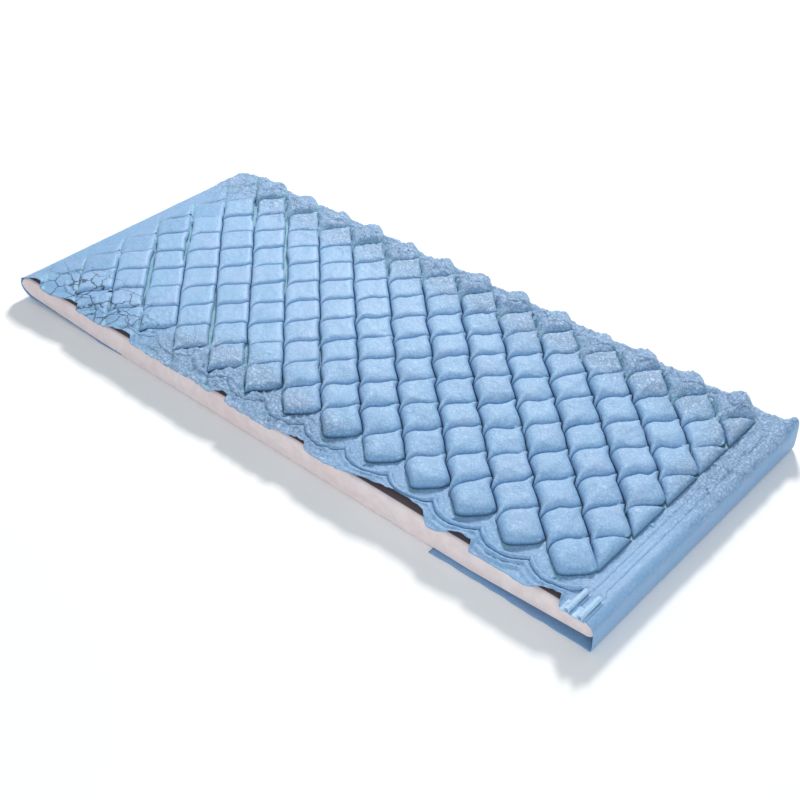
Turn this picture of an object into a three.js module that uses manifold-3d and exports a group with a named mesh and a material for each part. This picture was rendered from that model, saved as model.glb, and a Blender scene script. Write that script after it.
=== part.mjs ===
// Pressure relief mattress: an alternating air pad of 130 welded cells, laid on a covered foam slab
// and held by two end flaps that wrap round the slab and tuck in under it.
// Millimetres, +Z up. The origin is on the floor under the middle of the slab, +X runs from the head
// end to the foot end, and +Y from the side with the air inlets to the far side.
import * as THREE from "three";
import { mergeVertices } from "three/addons/utils/BufferGeometryUtils.js";
import Module from "manifold-3d";

const wasm = await Module();
wasm.setup();

// ---- Driving dimensions ----------------------------------------------------------------------
const touchGap = 0.3; // pieces that touch keep this gap

// Foam slab and its cover. Each end is a rounded nose, and the underside rises towards it.
const slabLength = 2040;
const slabWidth = 870;
const slabThickness = 75;
const coverThickness = 1.2;
const footNose = { depth: 24, tipHeight: 50, lift: 20, rise: 340, heelSlope: 0.1 };
const headNose = { depth: 40, tipHeight: 44, lift: 14, rise: 360, heelSlope: 0.4 };
const noseSteps = 6;
const flapRecess = 1.4; // the underside stands this far off the floor over the end flaps
const recessRamp = 15;

// Air pad: a flat lower film, two circuits of cells, and feed channels along its margins.
const padWidth = 900;
const filmThickness = 0.8;
const cellHalfPitch = 70; // half a cell's diagonal, along and across the pad
const headMargin = 140; // from the slab's head end to the first column's corners
const footMargin = 80; // at least this much from the half cells' straight edge to the foot end
const sideMargin = 65; // at least this much from the edge cells' corners to the film's edge
const cellHeight = 42;
const cellCut = 12; // the corners of a cell are cut off this far along its sides
const flankLean = 3; // how far a cell's flanks lean in up to just over half its height
const crownInset = 17; // from a cell's side to the flat of its crown
const weldWidth = 6; // flat weld left between neighbouring cells
const linkWidth = 16; // air link between two cells of one row
const linkHeight = 8;

const channelWidth = 13;
const channelHeight = 7;
const festoonClearance = 17; // from an edge cell's corner to the channel that loops round it
const loopSteps = 8;
const channelOffset = 14; // from the cells' edge to the centre line of a straight channel
const channelSpacing = 23; // between the two straight channels across the foot margin

// Air inlets at the near corner of the foot end
const inletDiameter = 13;
const inletBore = 8;
const inletSpacing = 33;
const inletShift = 2; // of the first tube, from its foot channel towards the head end
const inletLength = 75;
const inletSides = 12;
const patchLength = 34;
const patchOverhang = 16;

// End flaps
const flapLength = 450;
const foldClearance = 2.6; // between a flap and the wrap that it folds from

// Zip on the far side of the cover
const zipLength = 1200;
const zipSlot = 7;
const zipHeight = 34; // of the slot's centre line above the floor
const zipProud = 1.4;
const tapeWidth = 11;
const tapeThickness = 0.8;
const slider = { length: 13, height: 9, depth: 2.6 };
const bridge = { length: 8, rise: 4.0, bar: 1.6 };
const pull = { length: 26, width: 6.5, thickness: 1.4, eye: 1.7 };

// ---- Derived places --------------------------------------------------------------------------
const halfLength = slabLength / 2;
const filmBottom = slabThickness + touchGap;
const filmTop = filmBottom + filmThickness;
const cellBase = filmTop + touchGap;
const cellPitch = cellHalfPitch * Math.SQRT2; // along a row, and from row to row
const festoonRadius = cellHalfPitch + festoonClearance; // about each edge cell's centre

// Cells fill what the margins leave. Each column sits half a cell off the last, so rows are counted
// over two neighbouring columns, and the count of full columns is odd and that of rows even.
const evenBelow = (count) => 2 * Math.floor(count / 2 + 1e-6);
const spanX = (slabLength - headMargin - footMargin) / cellHalfPitch;
const spanY = (padWidth - 2 * sideMargin) / cellHalfPitch;
const columns = evenBelow(spanX - 2) + 1;
const halfRows = evenBelow(spanY - 1);
const firstColumnX = -halfLength + headMargin + cellHalfPitch;
const nearRowY = (-(halfRows - 1) / 2) * cellHalfPitch;
const footCutX = firstColumnX + columns * cellHalfPitch; // the half cells' straight edge
const headChannelX = firstColumnX - cellHalfPitch - channelOffset;
const footChannelX = footCutX + channelOffset;
const inletAX = footChannelX - inletShift;
const inletBX = inletAX + inletSpacing;
const inletInnerY = -padWidth / 2 + inletLength;
const topFlatEnd = halfLength - footNose.depth - touchGap;

// ---- Materials -------------------------------------------------------------------------------
const finish = (color, roughness, metalness = 0) =>
  new THREE.MeshStandardMaterial({ color, roughness, metalness });
const blueFilm = finish(0x96bde4, 0.5);
const paleTube = finish(0xb9d6f2, 0.4);
const creamFabric = finish(0xddd0cf, 0.9);
const foam = finish(0xefe3c2, 0.95);
const zipCoil = finish(0xc9c4bf, 0.5);
const zipMetal = finish(0xb8bcc0, 0.35, 0.9);

// ---- Geometry helpers ------------------------------------------------------------------------
function solidOf(geometry) {
  const bare = geometry.clone();
  bare.deleteAttribute("normal");
  bare.deleteAttribute("uv");
  const merged = mergeVertices(bare, 1e-4);
  return new wasm.Manifold(
    new wasm.Mesh({
      numProp: 3,
      vertProperties: new Float32Array(merged.attributes.position.array),
      triVerts: new Uint32Array(merged.index.array),
    }),
  );
}

function geometryOf(solid) {
  const mesh = solid.getMesh();
  return new THREE.BufferGeometry()
    .setAttribute("position", new THREE.BufferAttribute(mesh.vertProperties, 3))
    .setIndex(new THREE.BufferAttribute(mesh.triVerts, 1));
}

// A box between two corners.
function boxBetween([x0, y0, z0], [x1, y1, z1]) {
  return new THREE.BoxGeometry(x1 - x0, y1 - y0, z1 - z0).translate(
    (x0 + x1) / 2,
    (y0 + y1) / 2,
    (z0 + z1) / 2,
  );
}

// Closed skin over rings of equal length, bottom ring first, each counter-clockwise from above.
function loft(rings) {
  const count = rings[0].length;
  const position = rings.flat().flatMap((p) => p.toArray());
  const index = [];
  for (let ring = 0; ring + 1 < rings.length; ring++) {
    for (let i = 0; i < count; i++) {
      const a = ring * count + i;
      const b = ring * count + ((i + 1) % count);
      index.push(a, b, b + count, a, b + count, a + count);
    }
  }
  const top = (rings.length - 1) * count;
  for (let i = 1; i + 1 < count; i++) {
    index.push(0, i + 1, i);
    index.push(top, top + i, top + i + 1);
  }
  return new THREE.BufferGeometry()
    .setAttribute("position", new THREE.Float32BufferAttribute(position, 3))
    .setIndex(index);
}

// Extrudes a side view, drawn as (x, z), across the whole width, centred on y = 0.
function extrudeAcross(sideView, width) {
  return new THREE.ExtrudeGeometry(new THREE.Shape(sideView), {
    depth: width,
    bevelEnabled: false,
  })
    .rotateX(Math.PI / 2)
    .translate(0, width / 2, 0);
}

// Moves each point of a line sideways by a distance, to the left of its direction of travel.
function offsetLine(points, distance, closed) {
  const count = points.length;
  return points.map((point, i) => {
    const before = closed || i > 0 ? points[(i - 1 + count) % count] : point;
    const after = closed || i < count - 1 ? points[(i + 1) % count] : point;
    const normals = [
      [before, point],
      [point, after],
    ]
      .filter(([a, b]) => a.distanceTo(b) > 0)
      .map(([a, b]) => new THREE.Vector2(a.y - b.y, b.x - a.x).normalize());
    const mean = normals
      .reduce((sum, n) => sum.add(n), new THREE.Vector2())
      .normalize();
    return point.clone().addScaledVector(mean, distance / mean.dot(normals[0]));
  });
}

// ---- Foam slab and cover ---------------------------------------------------------------------
// The points of one nose in side view, from the top flat round to the rising underside, for the
// foot end. The head end is drawn the same way and mirrored.
function noseLine({ depth, tipHeight, lift, rise, heelSlope }) {
  const shoulder = new THREE.Vector2(halfLength - depth, slabThickness);
  const tip = new THREE.Vector2(halfLength, tipHeight);
  const heel = new THREE.Vector2(halfLength - depth, lift);
  const easing = 0.55;
  const upper = new THREE.CubicBezierCurve(
    shoulder,
    new THREE.Vector2(shoulder.x + easing * depth, shoulder.y),
    new THREE.Vector2(tip.x, tip.y + easing * (slabThickness - tipHeight)),
    tip,
  );
  const lower = new THREE.CubicBezierCurve(
    tip,
    new THREE.Vector2(tip.x, tip.y - easing * (tipHeight - lift)),
    new THREE.Vector2(heel.x + easing * depth, heel.y + heelSlope * easing * depth),
    heel,
  );
  return {
    upper: upper.getPoints(noseSteps),
    lower: lower.getPoints(noseSteps).slice(1),
    underside: [
      new THREE.Vector2(halfLength - rise, flapRecess),
      new THREE.Vector2(halfLength - flapLength - recessRamp, flapRecess),
      new THREE.Vector2(halfLength - flapLength - 2 * recessRamp, 0),
    ],
  };
}

const mirrored = (points) => points.map((p) => new THREE.Vector2(-p.x, p.y));
const footEnd = noseLine(footNose);
const headEnd = noseLine(headNose);

// The slab's whole side view, clockwise from the foot end's shoulder.
const slabOutline = [
  ...footEnd.upper,
  ...footEnd.lower,
  ...footEnd.underside,
  ...mirrored([...headEnd.upper, ...headEnd.lower, ...headEnd.underside]).reverse(),
];

function foamCover() {
  const outer = solidOf(extrudeAcross(slabOutline, slabWidth));
  const inside = offsetLine(slabOutline, -coverThickness, true);
  const hollow = solidOf(extrudeAcross(inside, slabWidth - 2 * coverThickness));
  const slot = solidOf(
    boxBetween(
      [-zipLength / 2, slabWidth / 2 - 2 * coverThickness, zipHeight - zipSlot / 2],
      [zipLength / 2, slabWidth / 2 + coverThickness, zipHeight + zipSlot / 2],
    ),
  );
  return geometryOf(outer.subtract(hollow).subtract(slot));
}

function foamCore() {
  const inset = coverThickness + touchGap;
  return extrudeAcross(offsetLine(slabOutline, -inset, true), slabWidth - 2 * inset);
}

// ---- Film: lower sheet, end wraps and flaps ----------------------------------------------------
// The line of film that follows a nose at a constant gap, from the shoulder to the heel.
const besideNose = (end) =>
  offsetLine([...end.upper, ...end.lower], touchGap + filmThickness / 2, false);

// A wrap stops a little short of its flap's fold.
function shortOf(fold, line) {
  const before = line.at(-2);
  const way = before.clone().sub(fold).normalize();
  return [...line.slice(0, -1), fold.clone().addScaledVector(way, foldClearance)];
}

// At the head end the film follows the nose down to the heel and folds there. The flap then follows
// the rising underside down to the floor.
const headLine = mirrored(besideNose(headEnd));
const headFold = headLine.at(-1);
const headFlapLine = [
  headFold,
  new THREE.Vector2(-halfLength + headNose.rise, filmThickness / 2),
  new THREE.Vector2(-halfLength + flapLength, filmThickness / 2),
];

// At the foot end the film drops straight from the nose's furthest point to a fold at the floor.
const footRound = besideNose(footEnd).slice(0, footEnd.upper.length);
const footFold = new THREE.Vector2(footRound.at(-1).x, filmThickness / 2);
const footLine = [...footRound, footFold];
const footFlapLine = [footFold, new THREE.Vector2(halfLength - flapLength, filmThickness / 2)];

// A strip of film with a side view that runs along a line, as wide as the pad.
function filmRibbon(line) {
  const outside = offsetLine(line, filmThickness / 2, false);
  const inside = offsetLine(line, -filmThickness / 2, false);
  return extrudeAcross([...outside, ...inside.reverse()], padWidth);
}

function lowerFilm() {
  return boxBetween(
    [-halfLength + headNose.depth + touchGap, -padWidth / 2, filmBottom],
    [topFlatEnd, padWidth / 2, filmTop],
  );
}

// ---- Air cells ---------------------------------------------------------------------------------
const up = new THREE.Vector3(0, 0, 1);

// One ring of a cell: a square with cut corners, turned to stand on a corner as the cells do.
function cellRing(halfSide, cut, z) {
  const outline = [
    [halfSide, halfSide - cut],
    [halfSide - cut, halfSide],
    [cut - halfSide, halfSide],
    [-halfSide, halfSide - cut],
    [-halfSide, cut - halfSide],
    [cut - halfSide, -halfSide],
    [halfSide - cut, -halfSide],
    [halfSide, cut - halfSide],
  ];
  return outline.map(([u, v]) => new THREE.Vector3(u, v, z).applyAxisAngle(up, Math.PI / 4));
}

const cellHalfSide = (cellPitch - weldWidth) / 2;
const cellShape = loft([
  cellRing(cellHalfSide, cellCut, 0),
  cellRing(cellHalfSide - flankLean, cellCut + flankLean, cellHeight * 0.55),
  cellRing(cellHalfSide - crownInset, cellCut, cellHeight),
]);

// How far a cell's blunt corner reaches from its centre
const cellTip = cellHalfSide * Math.SQRT2 - cellCut / Math.SQRT2;

const columnX = (column) => firstColumnX + column * cellHalfPitch;
const rowY = (row) => nearRowY + row * cellHalfPitch;

// The air link from a cell to the next one of its row, towards the foot end and the near side.
function cellLink(column, row) {
  const reach = weldWidth + 12;
  return new THREE.BoxGeometry(reach, linkWidth, linkHeight)
    .rotateZ(-Math.PI / 4)
    .translate(
      columnX(column) + cellHalfPitch / 2,
      rowY(row) - cellHalfPitch / 2,
      cellBase + linkHeight / 2,
    );
}

// Diagonal rows are numbered by the sum of column and row. Every second one belongs to circuit A.
const feedsA = (sum) => sum % 4 === 0;
const lastFootRow = halfRows - 1 - (feedsA(columns + halfRows - 1) ? 0 : 2);
const lastFootFeedY = rowY(lastFootRow) + linkWidth;
const firstHeadFeedY = rowY(2) - linkWidth;

// Cells whose column and row add up to the same even number form one diagonal row, a sealed chamber.
// The last column holds half cells, cut off straight along the foot channel.
function cellRow(sum) {
  let chamber = null;
  for (let column = 0; column <= columns; column++) {
    const row = sum - column;
    if (row < 0 || row >= halfRows) continue;
    const cell = cellShape.clone().translate(columnX(column), rowY(row), cellBase);
    const pieces = [solidOf(cell)];
    if (row > 0 && column < columns) pieces.push(solidOf(cellLink(column, row)));
    for (const piece of pieces) chamber = chamber ? chamber.add(piece) : piece;
  }
  const kept = boxBetween(
    [-halfLength, -padWidth, 0],
    [footCutX - weldWidth / 2, padWidth, 2 * cellBase],
  );
  return geometryOf(chamber.intersect(solidOf(kept)));
}

// ---- Feed channels -----------------------------------------------------------------------------
// Loops round the edge cells of one side, drawn as seen from above, as far as the half cells' edge.
// side is -1 near and +1 far.
function festoon(side, firstColumn, edgeY) {
  const half = Math.asin(cellHalfPitch / festoonRadius);
  const line = [];
  for (let column = firstColumn; column <= columns; column += 2) {
    for (let step = column === firstColumn ? 0 : 1; step <= loopSteps; step++) {
      const angle = half * ((2 * step) / loopSteps - 1);
      const x = columnX(column) + festoonRadius * Math.sin(angle);
      if (x > footCutX + touchGap) break;
      line.push(new THREE.Vector2(x, edgeY + side * festoonRadius * Math.cos(angle)));
    }
  }
  return line;
}

// A flat-topped channel of constant width along a line, standing on the lower film.
function channelAlong(line) {
  const outline = [
    ...offsetLine(line, channelWidth / 2, false),
    ...offsetLine(line, -channelWidth / 2, false).reverse(),
  ];
  return solidOf(
    new THREE.ExtrudeGeometry(new THREE.Shape(outline), {
      depth: channelHeight,
      bevelEnabled: false,
    }).translate(0, 0, cellBase),
  );
}

// A straight stretch of channel between two corners.
function straightChannel([x0, y0], [x1, y1]) {
  return solidOf(
    boxBetween(
      [Math.min(x0, x1), Math.min(y0, y1), cellBase],
      [Math.max(x0, x1), Math.max(y0, y1), cellBase + channelHeight],
    ),
  );
}

// Stubs from a side channel's loops to the edge cells of the circuit that it feeds.
function sideStubs(side, row, circuitIsA) {
  const stubs = [];
  for (let column = row % 2; column < columns; column += 2) {
    if (feedsA(column + row) !== circuitIsA) continue;
    stubs.push(
      straightChannel(
        [columnX(column) - linkWidth / 2, rowY(row) + side * (cellTip + touchGap)],
        [columnX(column) + linkWidth / 2, rowY(row) + side * festoonRadius],
      ),
    );
  }
  return stubs;
}

// Circuit A is fed along the near side, and across the foot end for the rows that stop there.
function feedChannelA() {
  const line = festoon(-1, 0, rowY(0));
  const endY = line.at(-1).y;
  line.push(new THREE.Vector2(inletAX + channelWidth / 2, endY));
  const left = footChannelX - channelWidth / 2;
  const right = footChannelX + channelWidth / 2;
  const across = straightChannel([left, inletInnerY + touchGap], [right, lastFootFeedY]);
  let channel = channelAlong(line).add(across);
  for (const stub of sideStubs(-1, 0, true)) channel = channel.add(stub);
  for (let row = 1; row < halfRows; row += 2) {
    if (!feedsA(columns + row)) continue;
    const stub = straightChannel(
      [footCutX - weldWidth / 2 + touchGap, rowY(row) - linkWidth / 2],
      [footChannelX, rowY(row) + linkWidth / 2],
    );
    channel = channel.add(stub);
  }
  return geometryOf(channel);
}

// Circuit B is fed along the far side, and across the head end for the rows that start there. Its
// channel comes back across the foot end to the second tube.
function feedChannelB() {
  const edgeY = rowY(halfRows - 1);
  const footX = footChannelX + channelSpacing;
  const turn = 2 * channelOffset;
  const line = [
    new THREE.Vector2(headChannelX, firstHeadFeedY),
    new THREE.Vector2(headChannelX, edgeY + channelOffset),
    ...festoon(1, 1, edgeY),
    new THREE.Vector2(footX, edgeY + festoonRadius - (footX - footCutX)),
    new THREE.Vector2(footX, inletInnerY + turn),
    new THREE.Vector2(inletBX, inletInnerY + turn / 2),
    new THREE.Vector2(inletBX, inletInnerY + touchGap),
  ];
  let channel = channelAlong(line);
  for (const stub of sideStubs(1, halfRows - 1, false)) channel = channel.add(stub);
  for (let row = 2; row < halfRows; row += 2) {
    if (feedsA(row) || rowY(row) < firstHeadFeedY) continue;
    const stub = straightChannel(
      [headChannelX, rowY(row) - linkWidth / 2],
      [firstColumnX - cellTip - touchGap, rowY(row) + linkWidth / 2],
    );
    channel = channel.add(stub);
  }
  return geometryOf(channel);
}

// ---- Air inlets --------------------------------------------------------------------------------
function inletTube(x) {
  const tube = (diameter, length) =>
    solidOf(new THREE.CylinderGeometry(diameter / 2, diameter / 2, length, inletSides));
  const wall = tube(inletDiameter, inletLength).subtract(tube(inletBore, inletLength + 2));
  return geometryOf(wall).translate(
    x,
    -padWidth / 2 + inletLength / 2,
    cellBase + filmThickness + touchGap + inletDiameter / 2,
  );
}

// The patch welded to the film under the tubes' outer ends
function inletPatch() {
  return boxBetween(
    [inletAX - patchOverhang, -padWidth / 2, cellBase],
    [topFlatEnd, -padWidth / 2 + patchLength, cellBase + filmThickness],
  );
}

// ---- Zip ---------------------------------------------------------------------------------------
const coverFace = slabWidth / 2;

function zipChain() {
  return boxBetween(
    [-zipLength / 2 + touchGap, coverFace - coverThickness, zipHeight - zipSlot / 2 + touchGap],
    [zipLength / 2 - touchGap, coverFace + zipProud, zipHeight + zipSlot / 2 - touchGap],
  );
}

function zipTape(side) {
  const near = zipHeight + (side * zipSlot) / 2;
  const far = near + side * tapeWidth;
  return boxBetween(
    [-zipLength / 2 - tapeWidth, coverFace + touchGap, Math.min(near, far)],
    [zipLength / 2 + tapeWidth, coverFace + touchGap + tapeThickness, Math.max(near, far)],
  );
}

// The slider closes the zip at its head end. Its bridge is a low loop that the pull hangs on.
const sliderX = -zipLength / 2 + slider.length;
const sliderBack = coverFace + zipProud + touchGap;
const bridgeY = sliderBack + slider.depth + bridge.rise - bridge.bar / 2;

function zipSlider() {
  const body = solidOf(
    boxBetween(
      [sliderX - slider.length / 2, sliderBack, zipHeight - slider.height / 2],
      [sliderX + slider.length / 2, sliderBack + slider.depth, zipHeight + slider.height / 2],
    ),
  );
  const loop = solidOf(
    boxBetween(
      [sliderX - bridge.length / 2, sliderBack, zipHeight - bridge.bar / 2],
      [sliderX + bridge.length / 2, sliderBack + slider.depth + bridge.rise, zipHeight + bridge.bar / 2],
    ),
  );
  const window = solidOf(
    boxBetween(
      [sliderX - bridge.length / 2 + bridge.bar, sliderBack + slider.depth, zipHeight - bridge.bar],
      [sliderX + bridge.length / 2 - bridge.bar, sliderBack + slider.depth + bridge.rise - bridge.bar, zipHeight + bridge.bar],
    ),
  );
  return geometryOf(body.add(loop).subtract(window));
}

// The pull: a ring that rides on the bridge's bar, and a tab that hangs from it.
function zipPull() {
  const ringOuter = bridge.bar / 2 + touchGap + pull.eye;
  const ringHole = bridge.bar * Math.SQRT1_2 + touchGap;
  const ringWidth = bridge.length - 2 * bridge.bar - 2 * touchGap;
  const cylinder = (radius, width) =>
    solidOf(new THREE.CylinderGeometry(radius, radius, width, 16).rotateZ(Math.PI / 2));
  const tab = solidOf(
    boxBetween(
      [-pull.width / 2, -pull.thickness / 2, -pull.length],
      [pull.width / 2, pull.thickness / 2, -ringOuter],
    ),
  );
  const stem = solidOf(
    boxBetween(
      [-ringWidth / 2, -pull.thickness / 2, -ringOuter - 1],
      [ringWidth / 2, pull.thickness / 2, -ringHole],
    ),
  );
  const ring = cylinder(ringOuter, ringWidth).add(stem).subtract(cylinder(ringHole, ringWidth + 2));
  return geometryOf(ring.add(tab));
}

// ---- Assembly ----------------------------------------------------------------------------------
const mattress = new THREE.Group();

function place(name, geometry, material) {
  const mesh = new THREE.Mesh(geometry, material);
  mesh.name = name;
  mattress.add(mesh);
  return mesh;
}

place("foam_core", foamCore(), foam);
place("foam_cover", foamCover(), creamFabric);
place("zip_chain", zipChain(), zipCoil);
place("zip_tape_upper", zipTape(1), creamFabric);
place("zip_tape_lower", zipTape(-1), creamFabric);
place("zip_slider", zipSlider(), zipMetal);
place("zip_pull", zipPull(), zipMetal).position.set(sliderX, bridgeY, zipHeight);

place("lower_film", lowerFilm(), blueFilm);
place("foot_wrap", filmRibbon(shortOf(footFold, footLine)), blueFilm);
place("head_wrap", filmRibbon(shortOf(headFold, headLine)), blueFilm);
place("foot_flap", filmRibbon(footFlapLine), blueFilm);
place("head_flap", filmRibbon(headFlapLine), blueFilm);

place("feed_channel_a", feedChannelA(), blueFilm);
place("feed_channel_b", feedChannelB(), blueFilm);
place("inlet_patch", inletPatch(), paleTube);
place("inlet_tube_a", inletTube(inletAX), paleTube);
place("inlet_tube_b", inletTube(inletBX), paleTube);

// Neighbouring diagonal rows belong to circuits A and B in turn.
const diagonalRows = (columns + halfRows) / 2;
for (let index = 0; index < Math.ceil(diagonalRows); index++) {
  const circuit = feedsA(2 * index) ? "a" : "b";
  place(`cell_row_${circuit}${Math.floor(index / 2) + 1}`, cellRow(2 * index), blueFilm);
}

export default mattress;
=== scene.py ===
"""Pressure relief mattress: an alternating air pad of welded diamond cells on a covered foam slab.

Metres, +Z up. The origin is on the floor under the middle of the slab, +X runs from the head end to
the foot end, and +Y from the side with the air inlets to the far side. A row is a diagonal line of
cells that form one air chamber, and rows belong to circuits A and B in turn.
"""
import math

import bpy
import numpy as np
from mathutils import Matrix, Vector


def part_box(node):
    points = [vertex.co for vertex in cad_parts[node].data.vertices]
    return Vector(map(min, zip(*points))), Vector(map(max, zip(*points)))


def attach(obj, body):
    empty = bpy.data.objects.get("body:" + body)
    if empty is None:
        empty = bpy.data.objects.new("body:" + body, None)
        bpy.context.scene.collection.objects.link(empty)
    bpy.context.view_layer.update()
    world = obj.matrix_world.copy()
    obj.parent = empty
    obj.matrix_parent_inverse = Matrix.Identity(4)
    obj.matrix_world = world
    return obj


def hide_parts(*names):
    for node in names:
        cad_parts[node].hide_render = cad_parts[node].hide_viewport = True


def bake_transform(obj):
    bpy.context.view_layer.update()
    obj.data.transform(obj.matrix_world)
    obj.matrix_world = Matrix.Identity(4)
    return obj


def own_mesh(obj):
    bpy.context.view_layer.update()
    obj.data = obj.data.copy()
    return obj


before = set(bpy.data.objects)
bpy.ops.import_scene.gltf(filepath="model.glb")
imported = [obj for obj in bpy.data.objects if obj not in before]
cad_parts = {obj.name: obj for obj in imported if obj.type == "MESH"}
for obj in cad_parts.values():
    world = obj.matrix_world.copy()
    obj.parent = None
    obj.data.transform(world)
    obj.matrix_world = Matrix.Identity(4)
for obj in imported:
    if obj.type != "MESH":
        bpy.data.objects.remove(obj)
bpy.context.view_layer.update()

# ---- Sizes and places, worked out from the frame ------------------------------------------------
TAU = 2 * math.pi
MM = 0.001


def node_box(name):
    """A node's lowest and highest corner as two numpy points."""
    low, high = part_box(name)
    return np.array(low), np.array(high)


cover_high = node_box("foam_cover")[1]
film_low, film_high = node_box("lower_film")
first_low, first_high = node_box("cell_row_a1")
last_high = node_box("cell_row_b9")[1]
tube_a_low, tube_a_high = node_box("inlet_tube_a")
tube_b_low, tube_b_high = node_box("inlet_tube_b")

SLAB_END = cover_high[0]
SLAB_SIDE = cover_high[1]
SLAB_TOP = cover_high[2]
FILM_SIDE = film_high[1]
FILM_Z = (film_low[2] + film_high[2]) / 2
CELL_BASE = first_low[2]
CELL_HEIGHT = first_high[2] - first_low[2]
CUT_X = last_high[0]  # the straight weld that ends the cells at the foot
HALF_ROWS = 10  # cells' centre lines across the width, half a cell apart
COLUMNS = 25
FIRST_X = (first_low[0] + first_high[0]) / 2
NEAR_Y = (first_low[1] + first_high[1]) / 2
PITCH = -2 * NEAR_Y / (HALF_ROWS - 1)  # half a cell's diagonal
CELL_PITCH = PITCH * math.sqrt(2)  # a cell's side, with one weld
WELD = 1.6 * MM
HALF_CELL = (CELL_PITCH - WELD) / 2

FESTOON_GAP = 17 * MM
FESTOON = PITCH + FESTOON_GAP  # radius of the loops round the edge cells
CHANNEL_WIDTH = 13.5 * MM
CHANNEL_HEIGHT = 8.5 * MM
CHANNEL_INSET = 14 * MM
CHANNEL_SPACING = 23 * MM
FOOT_SINK = 0.18  # the share of their height that the channels keep across the foot strip

FILM_THICKNESS = 0.7 * MM
FLAP_LENGTH = 450 * MM
# Side view of the slab's ends: how far in the top curve starts, the height of the tip, the height at
# which the lower curve ends, where the underside is level again, and the lower curve's last slope.
FOOT_NOSE = {"depth": 24 * MM, "tip": 50 * MM, "lift": 20 * MM, "rise": 340 * MM, "heel_slope": 0.1}
HEAD_NOSE = {"depth": 40 * MM, "tip": 44 * MM, "lift": 14 * MM, "rise": 360 * MM, "heel_slope": 0.4}
FLAP_RECESS = 1.4 * MM  # room under the slab for a tucked flap


def column_x(column):
    """X of a column's cell centres, counted from the head end."""
    return FIRST_X + column * PITCH


def row_y(row):
    """Y of a line of cell centres, counted from the near side."""
    return NEAR_Y + row * PITCH


# ---- Noise and small maths ----------------------------------------------------------------------
def smooth(low, high, value):
    """0 below low, 1 above high, and 3t^2 - 2t^3 between them."""
    t = np.clip((value - low) / (high - low), 0, 1)
    return t * t * (3 - 2 * t)


def lattice(ix, iy, seed):
    """A fixed pseudo-random number from -1 to 1 for each whole (ix, iy)."""
    h = ix.astype(np.int64) * 374761393 + iy.astype(np.int64) * 668265263 + seed * 2147483647
    h = (h ^ (h >> 13)) * 1274126177 & 0xFFFFFFFF
    h = (h ^ (h >> 16)) & 0xFFFF
    return h / 32767.5 - 1


def noise(x, y, seed=0):
    """Smooth noise, -1 to 1: lattice numbers blended with quintic weights inside each square."""
    ix, iy = np.floor(x), np.floor(y)
    fx, fy = x - ix, y - iy
    wx = fx ** 3 * (fx * (fx * 6 - 15) + 10)
    wy = fy ** 3 * (fy * (fy * 6 - 15) + 10)
    low = lattice(ix, iy, seed) * (1 - wx) + lattice(ix + 1, iy, seed) * wx
    high = lattice(ix, iy + 1, seed) * (1 - wx) + lattice(ix + 1, iy + 1, seed) * wx
    return low * (1 - wy) + high * wy


def creases(x, y, size, seed=0):
    """Crumpled film, 0 to 1: sharp ridges where one of two crossed noises passes through zero."""
    bend = 0.35 * noise(x / size * 0.7, y / size * 0.7, seed + 5)
    first = 1 - np.abs(noise(x / size + bend, y / size * 0.8 - bend, seed))
    second = 1 - np.abs(noise((x + y) / size * 1.1, (y - x) / size * 0.9 + bend, seed + 9))
    return np.maximum(first, second * 0.9) ** 3


# ---- Mesh helpers -------------------------------------------------------------------------------
def grid_quads(rows, columns, first=0, around=False):
    """Faces of a grid of rows x columns points; around joins the last column to the first."""
    i = np.arange(rows - 1)[:, None] * columns
    j = np.arange(columns if around else columns - 1)[None, :]
    k = (j + 1) % columns
    quads = np.stack([i + j, i + k, i + columns + k, i + columns + j], -1)
    return first + quads.reshape(-1, 4)


def mesh_piece(name, points, quads, caps=(), material=None, **values):
    """An object with the given points, quads and larger end faces, at the origin, smooth shaded.
    values are numbers stored at each point, read by the materials."""
    mesh = bpy.data.meshes.new(name)
    faces = [*np.asarray(quads).tolist(), *[list(map(int, cap)) for cap in caps]]
    mesh.from_pydata(np.asarray(points, float).tolist(), [], faces)
    mesh.polygons.foreach_set("use_smooth", np.ones(len(mesh.polygons), bool))
    for label, numbers in values.items():
        attribute = mesh.attributes.new(label, "FLOAT", "POINT")
        attribute.data.foreach_set("value", np.asarray(numbers, np.float32).ravel())
    mesh.validate()
    mesh.update()
    piece = bpy.data.objects.new(name, mesh)
    bpy.context.scene.collection.objects.link(piece)
    if material is not None:
        mesh.materials.append(material)
    return piece


class Parts:
    """Collects several closed surfaces into one mesh."""

    def __init__(self):
        self.points, self.quads, self.caps, self.crown, self.count = [], [], [], [], 0

    def add(self, points, quads, caps=(), crown=1.0):
        points = np.asarray(points, float)
        self.points.append(points.reshape(-1, 3))
        self.quads.append(np.asarray(quads) + self.count)
        self.caps += [np.asarray(cap) + self.count for cap in caps]
        self.crown.append(np.broadcast_to(crown, points.shape[:-1]).ravel())
        self.count += len(self.points[-1])

    def piece(self, name, material):
        """The mesh, which also stores how crumpled and how cracked the film is at each point."""
        points, quads = np.concatenate(self.points), np.concatenate(self.quads)
        x, y = points[:, 0], points[:, 1]
        return mesh_piece(name, points, quads, self.caps, material, crown=np.concatenate(self.crown),
                          crumple=crumple_share(x, y), crack=crack_share(x, y))


def thicken(piece, thickness, offset=0.0):
    """Gives an open surface its wall: offset 0 puts half of it on each side."""
    solid = piece.modifiers.new("Thickness", "SOLIDIFY")
    solid.thickness = thickness
    solid.offset = offset
    solid.use_even_offset = False
    return piece


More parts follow.
